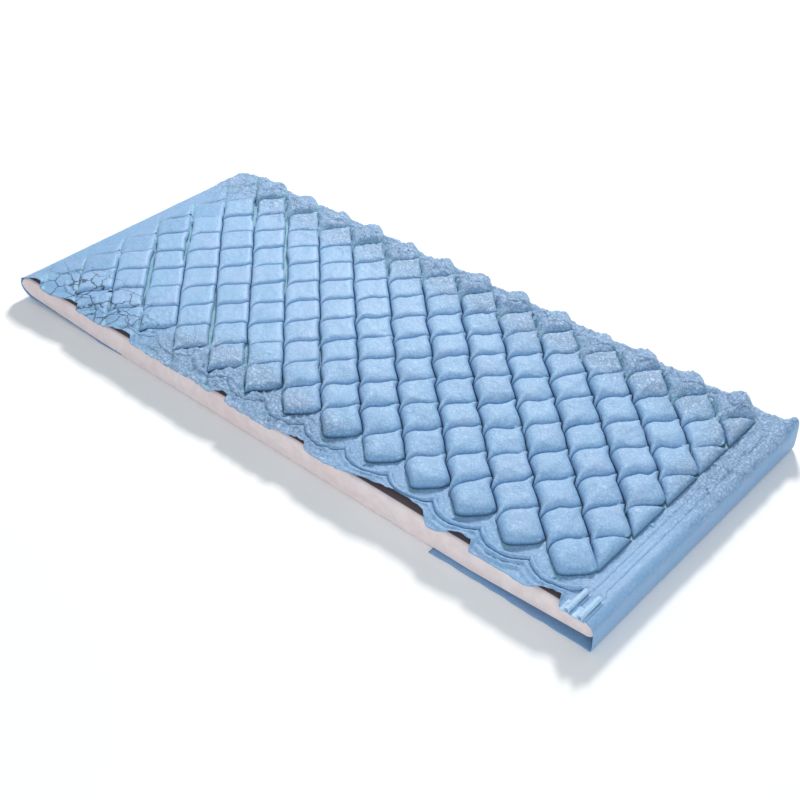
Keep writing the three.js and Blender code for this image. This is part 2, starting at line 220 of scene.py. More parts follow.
# ---- Shader groups ------------------------------------------------------------------------------
class Group:
    """A node group with named inputs and outputs, and short calls that add and join nodes."""

    def __init__(self, name, inputs, outputs):
        self.tree = bpy.data.node_groups.new(name, "ShaderNodeTree")
        for label, kind, value in inputs:
            socket = self.tree.interface.new_socket(label, in_out="INPUT", socket_type=kind)
            socket.default_value = value
        for label, kind in outputs:
            self.tree.interface.new_socket(label, in_out="OUTPUT", socket_type=kind)
        self.input = self.tree.nodes.new("NodeGroupInput").outputs
        self.output = self.tree.nodes.new("NodeGroupOutput").inputs

    def node(self, kind, links=(), **settings):
        return add_node(self.tree, kind, links, **settings)

    def out(self, label, source):
        self.tree.links.new(source, self.output[label])


def add_node(tree, kind, links=(), **settings):
    """A node with its settings and inputs. links maps an input's name or number to a socket or value."""
    node = tree.nodes.new(kind)
    for key, value in settings.items():
        setattr(node, key, value)
    for key, value in dict(links).items():
        if isinstance(value, bpy.types.NodeSocket):
            tree.links.new(value, node.inputs[key])
        else:
            node.inputs[key].default_value = value
    return node


def film_crumple_group():
    """Thin film's surface as heights: soft folds with a fine skin, sharp crossed creases for the
    crumpled parts, and the network of a few large cracks."""
    group = Group(
        "film_crumple",
        [("Fold Scale", "NodeSocketFloat", 30.0), ("Crack Scale", "NodeSocketFloat", 19.0)],
        [("Soft", "NodeSocketFloat"), ("Sharp", "NodeSocketFloat"), ("Crack", "NodeSocketFloat")],
    )
    place = group.node("ShaderNodeTexCoord").outputs["Object"]
    fold = group.node(
        "ShaderNodeTexNoise",
        {"Vector": place, "Scale": group.input["Fold Scale"], "Detail": 8.0, "Roughness": 0.62,
         "Distortion": 0.5},
    )
    warp = group.node("ShaderNodeVectorMath", {0: fold.outputs["Color"], 1: (0.05, 0.05, 0.02)},
                      operation="MULTIPLY")
    bent = group.node("ShaderNodeVectorMath", {0: place, 1: warp.outputs[0]}, operation="ADD")
    edges = []
    for scale, reach in ((group.input["Crack Scale"], 0.045), (95.0, 0.25)):
        cells = group.node(
            "ShaderNodeTexVoronoi",
            {"Vector": bent.outputs[0], "Scale": scale, "Randomness": 1.0},
            feature="DISTANCE_TO_EDGE",
        )
        edges.append(group.node("ShaderNodeMapRange",
                                {"Value": cells.outputs["Distance"], "From Max": reach},
                                interpolation_type="SMOOTHSTEP").outputs[0])
    fine = group.node("ShaderNodeTexNoise",
                      {"Vector": bent.outputs[0], "Scale": 240.0, "Detail": 5.0, "Roughness": 0.7})
    sharp = group.node("ShaderNodeMath", {0: fine.outputs["Fac"], 1: 0.9, 2: edges[1]},
                       operation="MULTIPLY_ADD")
    group.out("Soft", fold.outputs["Fac"])
    group.out("Sharp", sharp.outputs[0])
    group.out("Crack", edges[0])
    return group.tree


def weave_group():
    """Plain weave: two crossed sets of threads, with a lumpy thread thickness."""
    group = Group(
        "plain_weave",
        [("Threads per Metre", "NodeSocketFloat", 1400.0)],
        [("Height", "NodeSocketFloat"), ("Lump", "NodeSocketFloat")],
    )
    place = group.node("ShaderNodeTexCoord").outputs["Object"]
    waves = []
    for axis in ("X", "Y", "Z"):
        waves.append(group.node(
            "ShaderNodeTexWave",
            {"Vector": place, "Scale": group.input["Threads per Metre"], "Distortion": 0.4,
             "Detail": 1.0, "Detail Scale": 0.4},
            wave_type="BANDS", bands_direction=axis,
        ).outputs["Fac"])
    pair = group.node("ShaderNodeMath", {0: waves[0], 1: waves[1]}, operation="MULTIPLY")
    height = group.node("ShaderNodeMath", {0: pair.outputs[0], 1: waves[2]}, operation="ADD")
    lump = group.node("ShaderNodeTexNoise", {"Vector": place, "Scale": 38.0, "Detail": 5.0})
    group.out("Height", height.outputs[0])
    group.out("Lump", lump.outputs["Fac"])
    return group.tree


FILM_CRUMPLE = film_crumple_group()
WEAVE = weave_group()


# ---- Materials ----------------------------------------------------------------------------------
class Finish:
    """A material built round one Principled BSDF, with short calls that add and join nodes."""

    def __init__(self, name, roughness, **constants):
        self.material = bpy.data.materials.new(name)
        self.material.use_nodes = True
        self.tree = self.material.node_tree
        self.shader = self.tree.nodes["Principled BSDF"]
        self.shader.inputs["Roughness"].default_value = roughness
        for label, value in constants.items():
            self.shader.inputs[label.replace("_", " ")].default_value = value

    def node(self, kind, links=(), **settings):
        return add_node(self.tree, kind, links, **settings)

    def group(self, tree, **values):
        node = self.tree.nodes.new("ShaderNodeGroup")
        node.node_tree = tree
        for label, value in values.items():
            node.inputs[label.replace("_", " ")].default_value = value
        return node

    def noise(self, scale, detail=4.0, **links):
        place = self.node("ShaderNodeTexCoord").outputs["Object"]
        return self.node("ShaderNodeTexNoise", {"Vector": place, "Scale": scale, "Detail": detail, **links})

    def ramp(self, source, *stops):
        ramp = self.node("ShaderNodeValToRGB", {"Fac": source})
        elements = ramp.color_ramp.elements
        while len(elements) < len(stops):
            elements.new(0.5)
        for element, (position, colour) in zip(elements, stops):
            element.position, element.color = position, (*colour, 1)
        return ramp.outputs["Color"]

    def mix(self, factor, first, second, blend="MIX"):
        node = self.node("ShaderNodeMix", data_type="RGBA", blend_type=blend)
        for index, value in ((0, factor), (6, first), (7, second)):
            if isinstance(value, bpy.types.NodeSocket):
                self.tree.links.new(value, node.inputs[index])
            elif index == 0:
                node.inputs[index].default_value = value
            else:
                node.inputs[index].default_value = (*value, 1)
        return node.outputs[2]

    def colour(self, source):
        self.tree.links.new(source, self.shader.inputs["Base Color"])

    def rough(self, source, low, high):
        span = self.node("ShaderNodeMapRange", {"Value": source, "To Min": low, "To Max": high})
        self.tree.links.new(span.outputs[0], self.shader.inputs["Roughness"])

    def bump(self, *layers):
        """layers are (height, distance in metres, strength), the coarsest first."""
        normal = None
        for height, distance, strength in layers:
            links = {"Height": height, "Distance": distance, "Strength": strength}
            if normal is not None:
                links["Normal"] = normal
            normal = self.node("ShaderNodeBump", links).outputs["Normal"]
        self.tree.links.new(normal, self.shader.inputs["Normal"])


def blue_film(name, crown, valley, weld, fold_scale=30.0):
    """Soft blue film: pale on the crowns as painted light, greener down the flanks and dark in the welds as
    painted shade, all set by the stored crown number, and chalkier where it is crumpled; dark lines along the
    cracks are painted shade in their creases. Reads the crown, crumple and crack numbers stored in the mesh."""
    finish = Finish(name, 0.46, Specular_IOR_Level=0.38, Sheen_Weight=0.1, Sheen_Roughness=0.5)
    film = finish.group(FILM_CRUMPLE, Fold_Scale=fold_scale)
    height, crumple, crack = (
        finish.node("ShaderNodeAttribute", attribute_name=label).outputs["Fac"]
        for label in ("crown", "crumple", "crack")
    )
    # painted light and shade: the colour runs from the dark weld colour low down, through the flank colour,
    # to the pale crown colour high up
    base = finish.ramp(height, (0.0, weld), (0.12, weld), (0.40, valley), (0.80, crown))
    cloud = finish.noise(11.0, 6.0).outputs["Fac"]
    lilac = (crown[0] * 1.28, crown[1] * 1.04, crown[2] * 1.02)
    cloudy = finish.mix(finish.ramp(cloud, (0.42, (0, 0, 0)), (0.68, (0.55, 0.55, 0.55))), base, lilac)
    chalk = finish.mix(finish.ramp(crumple, (0.45, (0, 0, 0)), (1.0, (0.5, 0.5, 0.5))), cloudy,
                       (crown[0] * 1.5, crown[1] * 1.18, crown[2] * 1.1))
    toned = finish.mix(finish.ramp(height, (0.5, (0, 0, 0)), (0.85, (1, 1, 1))), base, chalk)
    speck = finish.ramp(film.outputs["Sharp"], (0.45, (0.74, 0.80, 0.86)), (1.0, (1.26, 1.19, 1.12)))
    speckled = finish.mix(finish.ramp(crumple, (0.0, (0.25, 0.25, 0.25)), (1.0, (1, 1, 1))), (1, 1, 1), speck)
    marked = finish.mix(1.0, toned, speckled, "MULTIPLY")
    # painted shade: the crack network's lines are darkened as the shade in their creases
    line = finish.ramp(film.outputs["Crack"], (0.0, (0.16, 0.26, 0.34)), (0.8, (1, 1, 1)))
    finish.colour(finish.mix(1.0, marked, finish.mix(crack, (1, 1, 1), line), "MULTIPLY"))
    finish.rough(cloud, 0.38, 0.58)
    depth = finish.node("ShaderNodeMath", {0: crumple, 1: 0.75, 2: 0.12}, operation="MULTIPLY_ADD")
    micro = finish.noise(1300.0, 2.0).outputs["Fac"]
    finish.bump((film.outputs["Crack"], 3 * MM, crack), (film.outputs["Soft"], 5 * MM, 0.35),
                (film.outputs["Sharp"], 1.6 * MM, depth.outputs[0]), (micro, 0.15 * MM, 0.3))
    return finish.material


def cream_cover(name, colour, shade):
    """Woven cover: a plain weave with a soft nap and a slightly uneven tone; where the slab marks its flat
    top panel, the colour is mixed to a dark plum as painted shade for the shadow under the film's lifted
    edges.
    """
    finish = Finish(name, 0.86, Sheen_Weight=0.3, Sheen_Roughness=0.55, Specular_IOR_Level=0.25)
    weave = finish.group(WEAVE, Threads_per_Metre=900.0)
    lump = weave.outputs["Lump"]
    soft = finish.ramp(lump, (0.3, shade), (0.62, colour))
    broad = finish.noise(3.5, 3.0).outputs["Fac"]
    warm = finish.ramp(broad, (0.35, (1.0, 0.93, 0.93)), (0.65, (0.98, 1.0, 1.0)))
    # painted shade: the top panel's cover colour is mixed to a dark plum, standing in for the shadow under
    # the film's lifted edges
    lining = finish.node("ShaderNodeAttribute", attribute_name="lining").outputs["Fac"]
    finish.colour(finish.mix(lining, finish.mix(1.0, soft, warm, "MULTIPLY"), (0.12, 0.075, 0.085)))
    finish.rough(lump, 0.8, 0.94)
    finish.bump((broad, 3 * MM, 0.25), (lump, 1.0 * MM, 0.3), (weave.outputs["Height"], 0.25 * MM, 0.6))
    return finish.material


def open_foam(name):
    """Open-cell foam: a fine field of round pores."""
    finish = Finish(name, 0.95, Specular_IOR_Level=0.2)
    place = finish.node("ShaderNodeTexCoord").outputs["Object"]
    pores = finish.node("ShaderNodeTexVoronoi", {"Vector": place, "Scale": 520.0}).outputs["Distance"]
    finish.colour(finish.ramp(pores, (0.1, (0.52, 0.45, 0.30)), (0.6, (0.82, 0.74, 0.55))))
    finish.bump((pores, 0.8 * MM, 0.7))
    return finish.material


def satin_metal(name):
    """Plated zinc: satin, with fine scratches and dull patches."""
    finish = Finish(name, 0.32, Metallic=1.0)
    scratch = finish.noise(700.0, 6.0, Roughness=0.8).outputs["Fac"]
    finish.colour(finish.ramp(scratch, (0.3, (0.52, 0.53, 0.54)), (0.7, (0.70, 0.71, 0.72))))
    finish.rough(scratch, 0.24, 0.46)
    finish.bump((scratch, 0.08 * MM, 0.4))
    return finish.material


def coil_plastic(name):
    """Nylon coil: off-white, slightly glossy, with tiny drawing lines."""
    finish = Finish(name, 0.4, Specular_IOR_Level=0.5)
    grain = finish.noise(900.0, 3.0).outputs["Fac"]
    finish.colour(finish.ramp(grain, (0.3, (0.56, 0.53, 0.50)), (0.7, (0.70, 0.67, 0.63))))
    finish.rough(grain, 0.34, 0.5)
    finish.bump((grain, 0.1 * MM, 0.4))
    return finish.material


# painted light and shade: the pale crown colour stands for the lit crowns, the darker flank and weld colours
# for the shade down the flanks and in the welds
LIT_CROWN_BLUE = (0.272, 0.47, 0.715)
SHADED_FLANK_BLUE = (0.215, 0.40, 0.64)
SHADED_WELD_BLUE = (0.055, 0.15, 0.255)
CELL_FILM = blue_film("blue_cell_film", LIT_CROWN_BLUE, SHADED_FLANK_BLUE, SHADED_WELD_BLUE)
SHEET_FILM = blue_film("blue_sheet_film", (0.225, 0.41, 0.65), (0.235, 0.475, 0.61),
                       (0.07, 0.19, 0.28), fold_scale=22.0)
TUBE_FILM = blue_film("pale_tube_film", (0.40, 0.62, 0.84), (0.33, 0.55, 0.79), (0.2, 0.4, 0.6),
                      fold_scale=45.0)
COVER_CLOTH = cream_cover("cream_cover_cloth", (0.90, 0.80, 0.80), (0.80, 0.71, 0.715))
TAPE_CLOTH = cream_cover("zip_tape_cloth", (0.72, 0.66, 0.64), (0.62, 0.56, 0.55))
FOAM = open_foam("open_cell_foam")
METAL = satin_metal("satin_zip_metal")
COIL = coil_plastic("zip_coil_plastic")


# ---- Air cells ----------------------------------------------------------------------------------
ARC = 24 * MM  # how far a cross weld turns off at its two ends
ARC_POWER = 2.6
ALONG = np.array([1, -1]) / math.sqrt(2)  # along a row, towards the foot end and the near side
ACROSS = np.array([1, 1]) / math.sqrt(2)
CELL_SAMPLES = 31
LINK_PLACE = 0.7
LINK_WIDTH = 0.17
LINK_HEIGHT = 12 * MM


def fullness(x):
    """0 where the pad is taut and flat at the head half, 1 where its cells are full."""
    return smooth(-0.45, 0.30, x)


def patch(x, y, centre, size):
    """A soft patch: e to the minus squared distance from its centre, in units of its size."""
    return np.exp(-(((x - centre[0]) / size[0]) ** 2 + ((y - centre[1]) / size[1]) ** 2))


def crumple_share(x, y):
    """How crumpled the film is: most in a patch by the near side and along the far side."""
    creased = 1.4 * patch(x, y, (-0.20, -0.40), (0.26, 0.11))
    near = 0.4 * smooth(-0.27, -0.38, y) * smooth(-0.6, -0.2, x) * smooth(0.45, 0.1, x)
    far = 0.85 * smooth(0.20, 0.36, y)
    foot = 0.7 * smooth(0.84, 0.95, x) * smooth(-0.15, 0.15, y)
    plain = smooth(0.93, 0.97, x) * smooth(0.0, -0.2, y)
    return np.clip(0.12 + 0.21 * fullness(x) * (1 - plain) + creased + near + far + foot, 0, 1)


def crack_share(x, y):
    """Where a network of cracks shows: the near side of the head half."""
    return np.clip(1.5 * patch(x, y, (-0.74, -0.385), (0.22, 0.10)), 0, 1)


def dome(t, power=3.6, root=0.5):
    """Inflated film between two welds at -1 and 1: (1 - |t|^power)^root, broad with steep flanks."""
    return np.clip(1 - np.abs(t) ** power, 0, 1) ** root


def slack(x, y, share, seed):
    """Slack film on a crown, in metres: broad facets, then creases that meet at odd angles."""
    broad = (0.6 + 2.9 * fullness(x)) * MM * noise(x / 0.05, y / 0.05, seed)
    ridge = creases(x, y, 0.034, seed + 1) - 0.35
    small = creases(x, y, 0.014, seed + 2) - 0.35
    return broad + (0.5 + 5.0 * share) * MM * ridge + (0.25 + 2.4 * share) * MM * small


def facet(u, step, cell, total, x):
    """Each cell's crown falls off as one slanted plane towards the foot end and the near side."""
    turn = 0.85 + 0.5 * lattice(cell, cell * 0 + total, 17)[:, None]
    start = 0.30 + 0.22 * lattice(cell, cell * 0 + total, 18)[:, None]
    reach = u[None, :] * np.cos(turn) + step[:, None] * np.sin(turn) - start
    return np.clip(reach, 0, None) * 10 * MM * fullness(x)


def side_samples(count):
    """Samples from -1 to 1, closer together near the ends: sine of evenly spaced angles."""
    return np.sin(np.linspace(-math.pi / 2, math.pi / 2, count))


def seam_gap(boundary, b, x):
    """Half the extra width of the seam between two rows: wide stretches come and go at the head."""
    wide = smooth(0.05, 0.5, noise(b / 0.16 + 3.1 * boundary, b * 0 + 0.7 * boundary, 23))
    return (1 - fullness(x)) * 6 * MM * wide


def seam_lean(x, y, full):
    """How far the seams between rows lean aside: along each cell they drift one way, then jump back
    where the cross welds meet them. Both neighbours share it."""
    along = ((x - column_x(0)) - (y - row_y(0))) / (2 * PITCH)
    part = along - np.floor(along + 0.5)
    drift = 2 * part * smooth(0.5, 0.34, np.abs(part))
    return (1.5 + 5.0 * full) * MM * drift + (1.4 + 1.8 * full) * MM * noise(along * 2.3, along * 0, 29)


def weld_curves(u, full, total):
    """How far each of a row's cross welds lies off a straight line: an arc that turns towards the near
    side at its head end and away at its foot end, different for every weld. Where the row ends near
    an edge loop, its last weld is rounded at both ends."""
    weld = np.arange(len(full) + 1)
    end = fullness(column_x(full[0] + weld - 0.5))[:, None]
    head_end = 1 + (0.6 - 0.35 * end) * lattice(weld, weld * 0 + total, 61)[:, None]
    foot_end = 0.4 + 0.6 * end + (0.5 - 0.25 * end) * lattice(weld, weld * 0 + total, 62)[:, None]
    bend = np.where(u < 0, head_end, foot_end) * -ARC * u * np.abs(u) ** ARC_POWER
    wander = noise(u[None, :] * 1.8 + 0 * end, weld[:, None] * 5.3 + total * 1.7, 63)
    curves = bend + (2.2 + 2.2 * end) * MM * wander
    curves[0] = -ARC * u * np.abs(u) ** ARC_POWER
    if total - full[-1] <= 1:
        curves[-1] = end[-1] * -12 * MM * u ** 4 + (1 - end[-1]) * curves[-1] * 0.6
    return curves


def row_surface(total):
    """One row's film: each cell is the product of a dome across the row and a dome along it. Cross
    welds follow arc(u) = -ARC * u * |u|^ARC_POWER, and a low link passes each of them."""
    full = [c for c in range(COLUMNS) if 0 <= total - c < HALF_ROWS]
    if not full:
        return None
    u = side_samples(CELL_SAMPLES)
    cell = np.repeat(np.arange(len(full)), CELL_SAMPLES)
    step = np.tile(u, len(full))
    keep = np.ones(len(step), bool)
    keep[CELL_SAMPLES::CELL_SAMPLES] = False  # a cross weld's line is shared by its two cells
    cell, step = cell[keep], step[keep]
    curves = weld_curves(u, full, total)
    low_arc, high_arc = curves[:-1], curves[1:]
    share_low = (1 - step[:, None]) / 2
    b = (cell + step / 2)[:, None] * CELL_PITCH + low_arc[cell] * share_low + high_arc[cell] * (1 - share_low)
    x = column_x(full[0]) + ALONG[0] * b
    y = row_y(total - full[0]) + ALONG[1] * b
    gap = seam_gap(total / 2 + np.sign(u)[None, :] * 0.5, b, x)
    a = u[None, :] * (HALF_CELL - gap) + seam_lean(x, y, fullness(x)) * np.abs(u[None, :]) ** 2
    x, y = x + ACROSS[0] * a, y + ACROSS[1] * a
    full_here, share = fullness(x), crumple_share(x, y)
    tall = 0.43 + 0.27 * full_here + (0.06 + 0.06 * full_here) * lattice(cell, cell * 0 + total, 3)[:, None]
    power = 11 - 5.2 * full_here
    body = dome(u[None, :], power, 0.42) * dome(step[:, None], power * 0.85, 0.42)
    inner = np.ones_like(step)
    inner[0] = inner[-1] = 0
    link = np.sqrt(np.clip(1 - ((u - LINK_PLACE) / LINK_WIDTH) ** 2, 0, 1))[None, :]
    link = link * smooth(0, 0.5, inner)[:, None]
    z = CELL_HEIGHT * body * tall + body * (slack(x, y, share, 7) - facet(u, step, cell, total, x))
    z = np.maximum(z, link * LINK_HEIGHT * (0.6 + 0.4 * full_here))
    # the crown number is the share of the cell's height; the film material turns it into painted light on the
    # crowns and painted shade in the welds
    crown = np.clip(z / (CELL_HEIGHT * tall * 0.95), 0, 1)
    return np.stack([x, y, CELL_BASE + np.maximum(z, 0)], -1), crown


def half_cell_surface(row):
    """A half cell that ends on the straight weld at the foot: a fan of lines from its blunt tip to
    the weld, with a dome across them and a dome from the tip to the weld."""
    p = 0.5 + side_samples(CELL_SAMPLES) / 2
    r = side_samples(CELL_SAMPLES)
    tip = column_x(COLUMNS) - PITCH + WELD
    x = (tip + p * (CUT_X - tip))[:, None] + 0 * r[None, :]
    half = (p * (PITCH - WELD) + 1 * MM)[:, None]
    y = row_y(row) + half * r[None, :]
    along = (np.clip(1 - (1 - p) ** 3, 0, 1) ** 0.5 * np.clip(1 - p ** 7, 0, 1) ** 0.6)[:, None]
    body = dome(r, 4.0)[None, :] * along
    share = crumple_share(x, y)
    tall = 0.60 + 0.06 * math.sin(row * 2.3)
    z = body * (CELL_HEIGHT * tall + slack(x, y, share, 7))
    # the crown number follows the dome's shape: painted light on the crown, painted shade towards the welds
    return np.stack([x, y, CELL_BASE + np.maximum(z, 0)], -1), np.clip(body * 1.05, 0, 1)


def closed_patch(parts, surface, crown):
    """Adds an open grid whose rim lies flat, and closes it with one face underneath."""
    rows, columns = surface.shape[:2]
    index = np.arange(rows * columns).reshape(rows, columns)
    rim = [*index[0], *index[1:, -1], *index[-1, -2::-1], *index[-2:0:-1, 0]]
    parts.add(surface, grid_quads(rows, columns), [rim[::-1]], crown)


def circuit(letter):
    """All the rows of one circuit. Rows are numbered by the sum of column and row, two apart."""
    parts = Parts()
    offset = 0 if letter == "a" else 2
    for total in range(offset, COLUMNS + HALF_ROWS, 4):
        made = row_surface(total)
        if made is not None:
            closed_patch(parts, *made)
        row = total - COLUMNS
        if 0 <= row < HALF_ROWS:
            closed_patch(parts, *half_cell_surface(row))
    piece = parts.piece(f"air_cells_{letter}", CELL_FILM)
    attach(piece, f"circuit_{letter}")
    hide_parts(*[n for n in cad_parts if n.startswith(f"cell_row_{letter}")])
    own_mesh(piece)
    return piece


# ---- Side view of the slab and of the film round it ------------------------------------------------
def bezier(points, count):
    """Points on a cubic curve with four control points."""
    t = np.linspace(0, 1, count)[:, None]
    p = np.array(points, float)
    return (1 - t) ** 3 * p[0] + 3 * t * (1 - t) ** 2 * p[1] + 3 * t * t * (1 - t) * p[2] + t ** 3 * p[3]


def nose(size, side, out=0.0, count=15):
    """One end's upper and lower curve in side view, moved outwards by out. side is -1 head, 1 foot."""
    depth, tip, lift, slope = size["depth"], size["tip"], size["lift"], size["heel_slope"]
    x0, x1, ease = SLAB_END - depth, SLAB_END + out, 0.55
    top, heel = SLAB_TOP + out, lift - out
    reach = x1 - x0
    upper = bezier([(x0, top), (x0 + ease * reach, top), (x1, tip + ease * (top - tip)), (x1, tip)], count)
    lower = bezier([(x1, tip), (x1, tip - ease * (tip - heel)),
                    (x0 + ease * reach, heel + slope * ease * depth), (x0, heel)], count)
    return upper * (side, 1), lower[1:] * (side, 1)


def even(line, step):
    """A line's points at even spacing along it, its two ends kept."""
    line = np.asarray(line, float)
    along = np.concatenate([[0], np.cumsum(np.linalg.norm(np.diff(line, axis=0), axis=1))])
    count = max(2, int(round(along[-1] / step)) + 1)
    at = np.linspace(0, along[-1], count)
    return np.stack([np.interp(at, along, line[:, k]) for k in range(line.shape[1])], -1)


def line_normals(line):
    """Unit normals of a line, to the left of its direction of travel."""
    ahead = np.gradient(line, axis=0)
    ahead /= np.linalg.norm(ahead, axis=1)[:, None]
    return np.stack([-ahead[:, 1], ahead[:, 0]], -1)


# ---- The film under the cells, its end wraps and flaps -----------------------------------------------
# Loose stretches of the near edge: (start, end, how far the edge is drawn in, lift)
NEAR_LIFTS = (
    (-1.03, -0.905, 14 * MM, 15 * MM), (-0.86, -0.74, 20 * MM, 8 * MM), (-0.64, -0.50, 16 * MM, 17 * MM),
    (-0.19, -0.12, 22 * MM, 13 * MM), (0.03, 0.17, 16 * MM, 8 * MM), (0.22, 0.565, 29 * MM, 23 * MM),
    (0.575, 0.685, 24 * MM, 19 * MM), (0.83, 0.93, 25 * MM, 14 * MM),
)
RIDGES = ((15.5 * MM, 8.5 * MM, 8 * MM), (31 * MM, 8.5 * MM, 6 * MM))  # offset, half width, height


def loose(x, kind):
    """The edge's inward draw (kind 2) or lift (kind 3): each stretch grows slowly and ends sharply."""
    total = 0 * x
    for stretch in NEAR_LIFTS:
        start, end = stretch[:2]
        width = end - start
        shape = smooth(start, start + 0.72 * width, x) * smooth(end, end - 0.13 * width, x)
        total = np.maximum(total, stretch[kind] * shape)
    return total


def loop_distance(x, y, side):
    """Distance from the centre of the edge cell whose loop this point lies in."""
    first = 0 if side < 0 else 1
    edge = row_y(0) if side < 0 else row_y(HALF_ROWS - 1)
    off = (x - column_x(first) + PITCH) % (2 * PITCH) - PITCH
    return np.hypot(off, y - edge)


def ridge(distance, centre, half):
    """A rounded bead: a cosine of the distance from its centre line, raised at its foot."""
    return np.cos(np.clip((distance - centre) / half, -1, 1) * math.pi / 2) ** 1.4


def quilting(x, y):
    """The row pattern carried on past the real cells: the fold's dome and height at each point, and
    whether the point lies among the real cells."""
    p, q = (x - column_x(0)) / PITCH, (y - row_y(0)) / PITCH
    row = np.round((p + q) / 2)
    u = np.clip(p + q - 2 * row, -1, 1)
    along = (p - q) / 2 + ARC * u * np.abs(u) ** ARC_POWER / CELL_PITCH
    cell = np.round(along)
    step = np.clip(2 * (along - cell), -1, 1)
    column, line = row + cell, row - cell
    vary = 0.85 + 0.35 * lattice(column, line, 37)
    taut = 1 - fullness(x)
    height = 0 * x
    height = np.where(line >= HALF_ROWS, np.where(line == HALF_ROWS, 30 * MM, 8 * MM), height)
    near = 15 * MM - 11 * MM * smooth(-0.385, -FILM_SIDE, y)
    head = 15 * MM - 12 * MM * smooth(-0.89, -0.985, x)
    height = np.where(line < 0, taut * near, height)
    height = np.where(column < 0, np.minimum(head, np.where(line < 0, near, 1)), height)
    height = np.where(column >= COLUMNS, 0, height)
    inside = (column >= 0) & (column < COLUMNS) & (line >= 0) & (line < HALF_ROWS)
    inside |= (column == COLUMNS) & (line >= 0) & (line < HALF_ROWS) & (x < CUT_X)
    power = np.where(line >= HALF_ROWS, 4.5, 8.0)
    shape = dome(u, power, 0.45) * dome(step, power, 0.45)
    fade = smooth(-0.995, -0.93, x) * smooth(0.95, 0.88, x)
    plain = (column >= COLUMNS) | (fade < 0.02) | ((line < 0) & (taut < 0.3))
    mixed = 1 - (1 - shape) * fade
    fade = fade * (0.35 + 0.65 * smooth(FILM_SIDE, FILM_SIDE - 20 * MM, y))
    return np.where(inside | plain, 1.0, mixed), np.where(inside, 0, height) * shape * vary * fade, inside


def film_height(x, y):
    """How far the sheet stands off the slab: edge lifts, ridges along the loops, quilting carried on
    past the cells, and slack creases."""
    share = crumple_share(x, y)
    _, height, inside = quilting(x, y)
    lifted = smooth(-0.375, -FILM_SIDE, y) ** 1.5 * loose(x, 3)
    z = lifted + height
    beyond = smooth(row_y(0), row_y(0) - 0.03, y) * fullness(x - 0.1) * smooth(CUT_X + 0.01, CUT_X - 0.03, x)
    beyond = beyond * (0.8 + 0.3 * noise(x / 0.06, y / 0.06, 48))
    distance = loop_distance(x, y, -1)
    for offset, half, tall in RIDGES:
        z = z + beyond * tall * ridge(distance, FESTOON + offset, half)
    open_part = np.where(inside, 0, 1)
    creased = (0.3 + 7.5 * share) * (creases(x, y, 0.032, 41) - 0.3)
    creased = creased + (0.2 + 3.4 * share) * (creases(x, y, 0.013, 42) - 0.3)
    z = z + open_part * MM * creased
    head = smooth(-0.90, -0.96, x)
    ripple = noise(x / 0.012 + 2 * noise(x / 0.08, y / 0.08, 3), y / 0.07, 44)
    z = z + head * 0.9 * MM * ripple * smooth(-0.3, 0.1, y)
    foot = smooth(CUT_X + 0.004, CUT_X + 0.03, x) * smooth(-0.2, 0.1, y)
    ripple = noise(x / 0.02, y / 0.011 + 2 * noise(x / 0.05, y / 0.05, 4), 46)
    return np.maximum(z + foot * 1.6 * MM * ripple, 0.3 * MM)


def edge_reach(x, side, on_top):
    """How far out the sheet's side edge lies at each place along the length."""
    wander = (2.5 * noise(x / 0.11, x * 0 + side, 51) + 1.4 * noise(x / 0.03, x * 0 + side, 52)) * MM
    if side > 0:
        notch = 7 * MM * (0.5 + 0.5 * noise(x / 0.05, x * 0 + 3, 53))
        return FILM_SIDE + wander - notch * on_top - (1 - on_top) * 10 * MM
    tucked = (1 - on_top) * 11 * MM * smooth(0.2, -0.4, x)
    return FILM_SIDE - 4 * MM + wander - loose(x, 2) * on_top - tucked


def film_profile():
    """The sheet's side view from the head flap's free end, round the slab to the foot flap's, as
    (head part, middle, foot part). All parts keep the CAD film's middle surface."""
    gap = 0.7 * MM
    head_up, head_down = nose(HEAD_NOSE, -1, gap)
    foot_up, _ = nose(FOOT_NOSE, 1, gap)
    seam_head, seam_foot = column_x(1), column_x(COLUMNS - 1)
    floor = 0.4 * MM
    under = [(-SLAB_END + FLAP_LENGTH, floor), (-SLAB_END + HEAD_NOSE["rise"], floor), head_down[-1]]
    under = even(under, 9 * MM)
    head = np.concatenate([
        under[:-1], even(head_down[::-1], 4 * MM)[:-1], even(head_up[::-1], 4 * MM)[:-1],
        even([head_up[0], (seam_head, FILM_Z)], 3.4 * MM),
    ])
    fold = foot_up[-1][0]
    drop = [(fold + 0.4 * MM, 30 * MM), (fold + 0.6 * MM, 12 * MM), (fold - 0.4 * MM, 3.2 * MM),
            (fold - 4 * MM, floor + 0.3 * MM), (fold - 12 * MM, floor)]
    foot = np.concatenate([
        even([(seam_foot, FILM_Z), foot_up[0]], 3.4 * MM)[:-1],
        even(np.concatenate([foot_up, drop]), 3.4 * MM)[:-1],
        even([drop[-1], (SLAB_END - FLAP_LENGTH, floor)], 9 * MM),
    ])
    return head, even([(seam_head, FILM_Z), (seam_foot, FILM_Z)], 4.2 * MM), foot


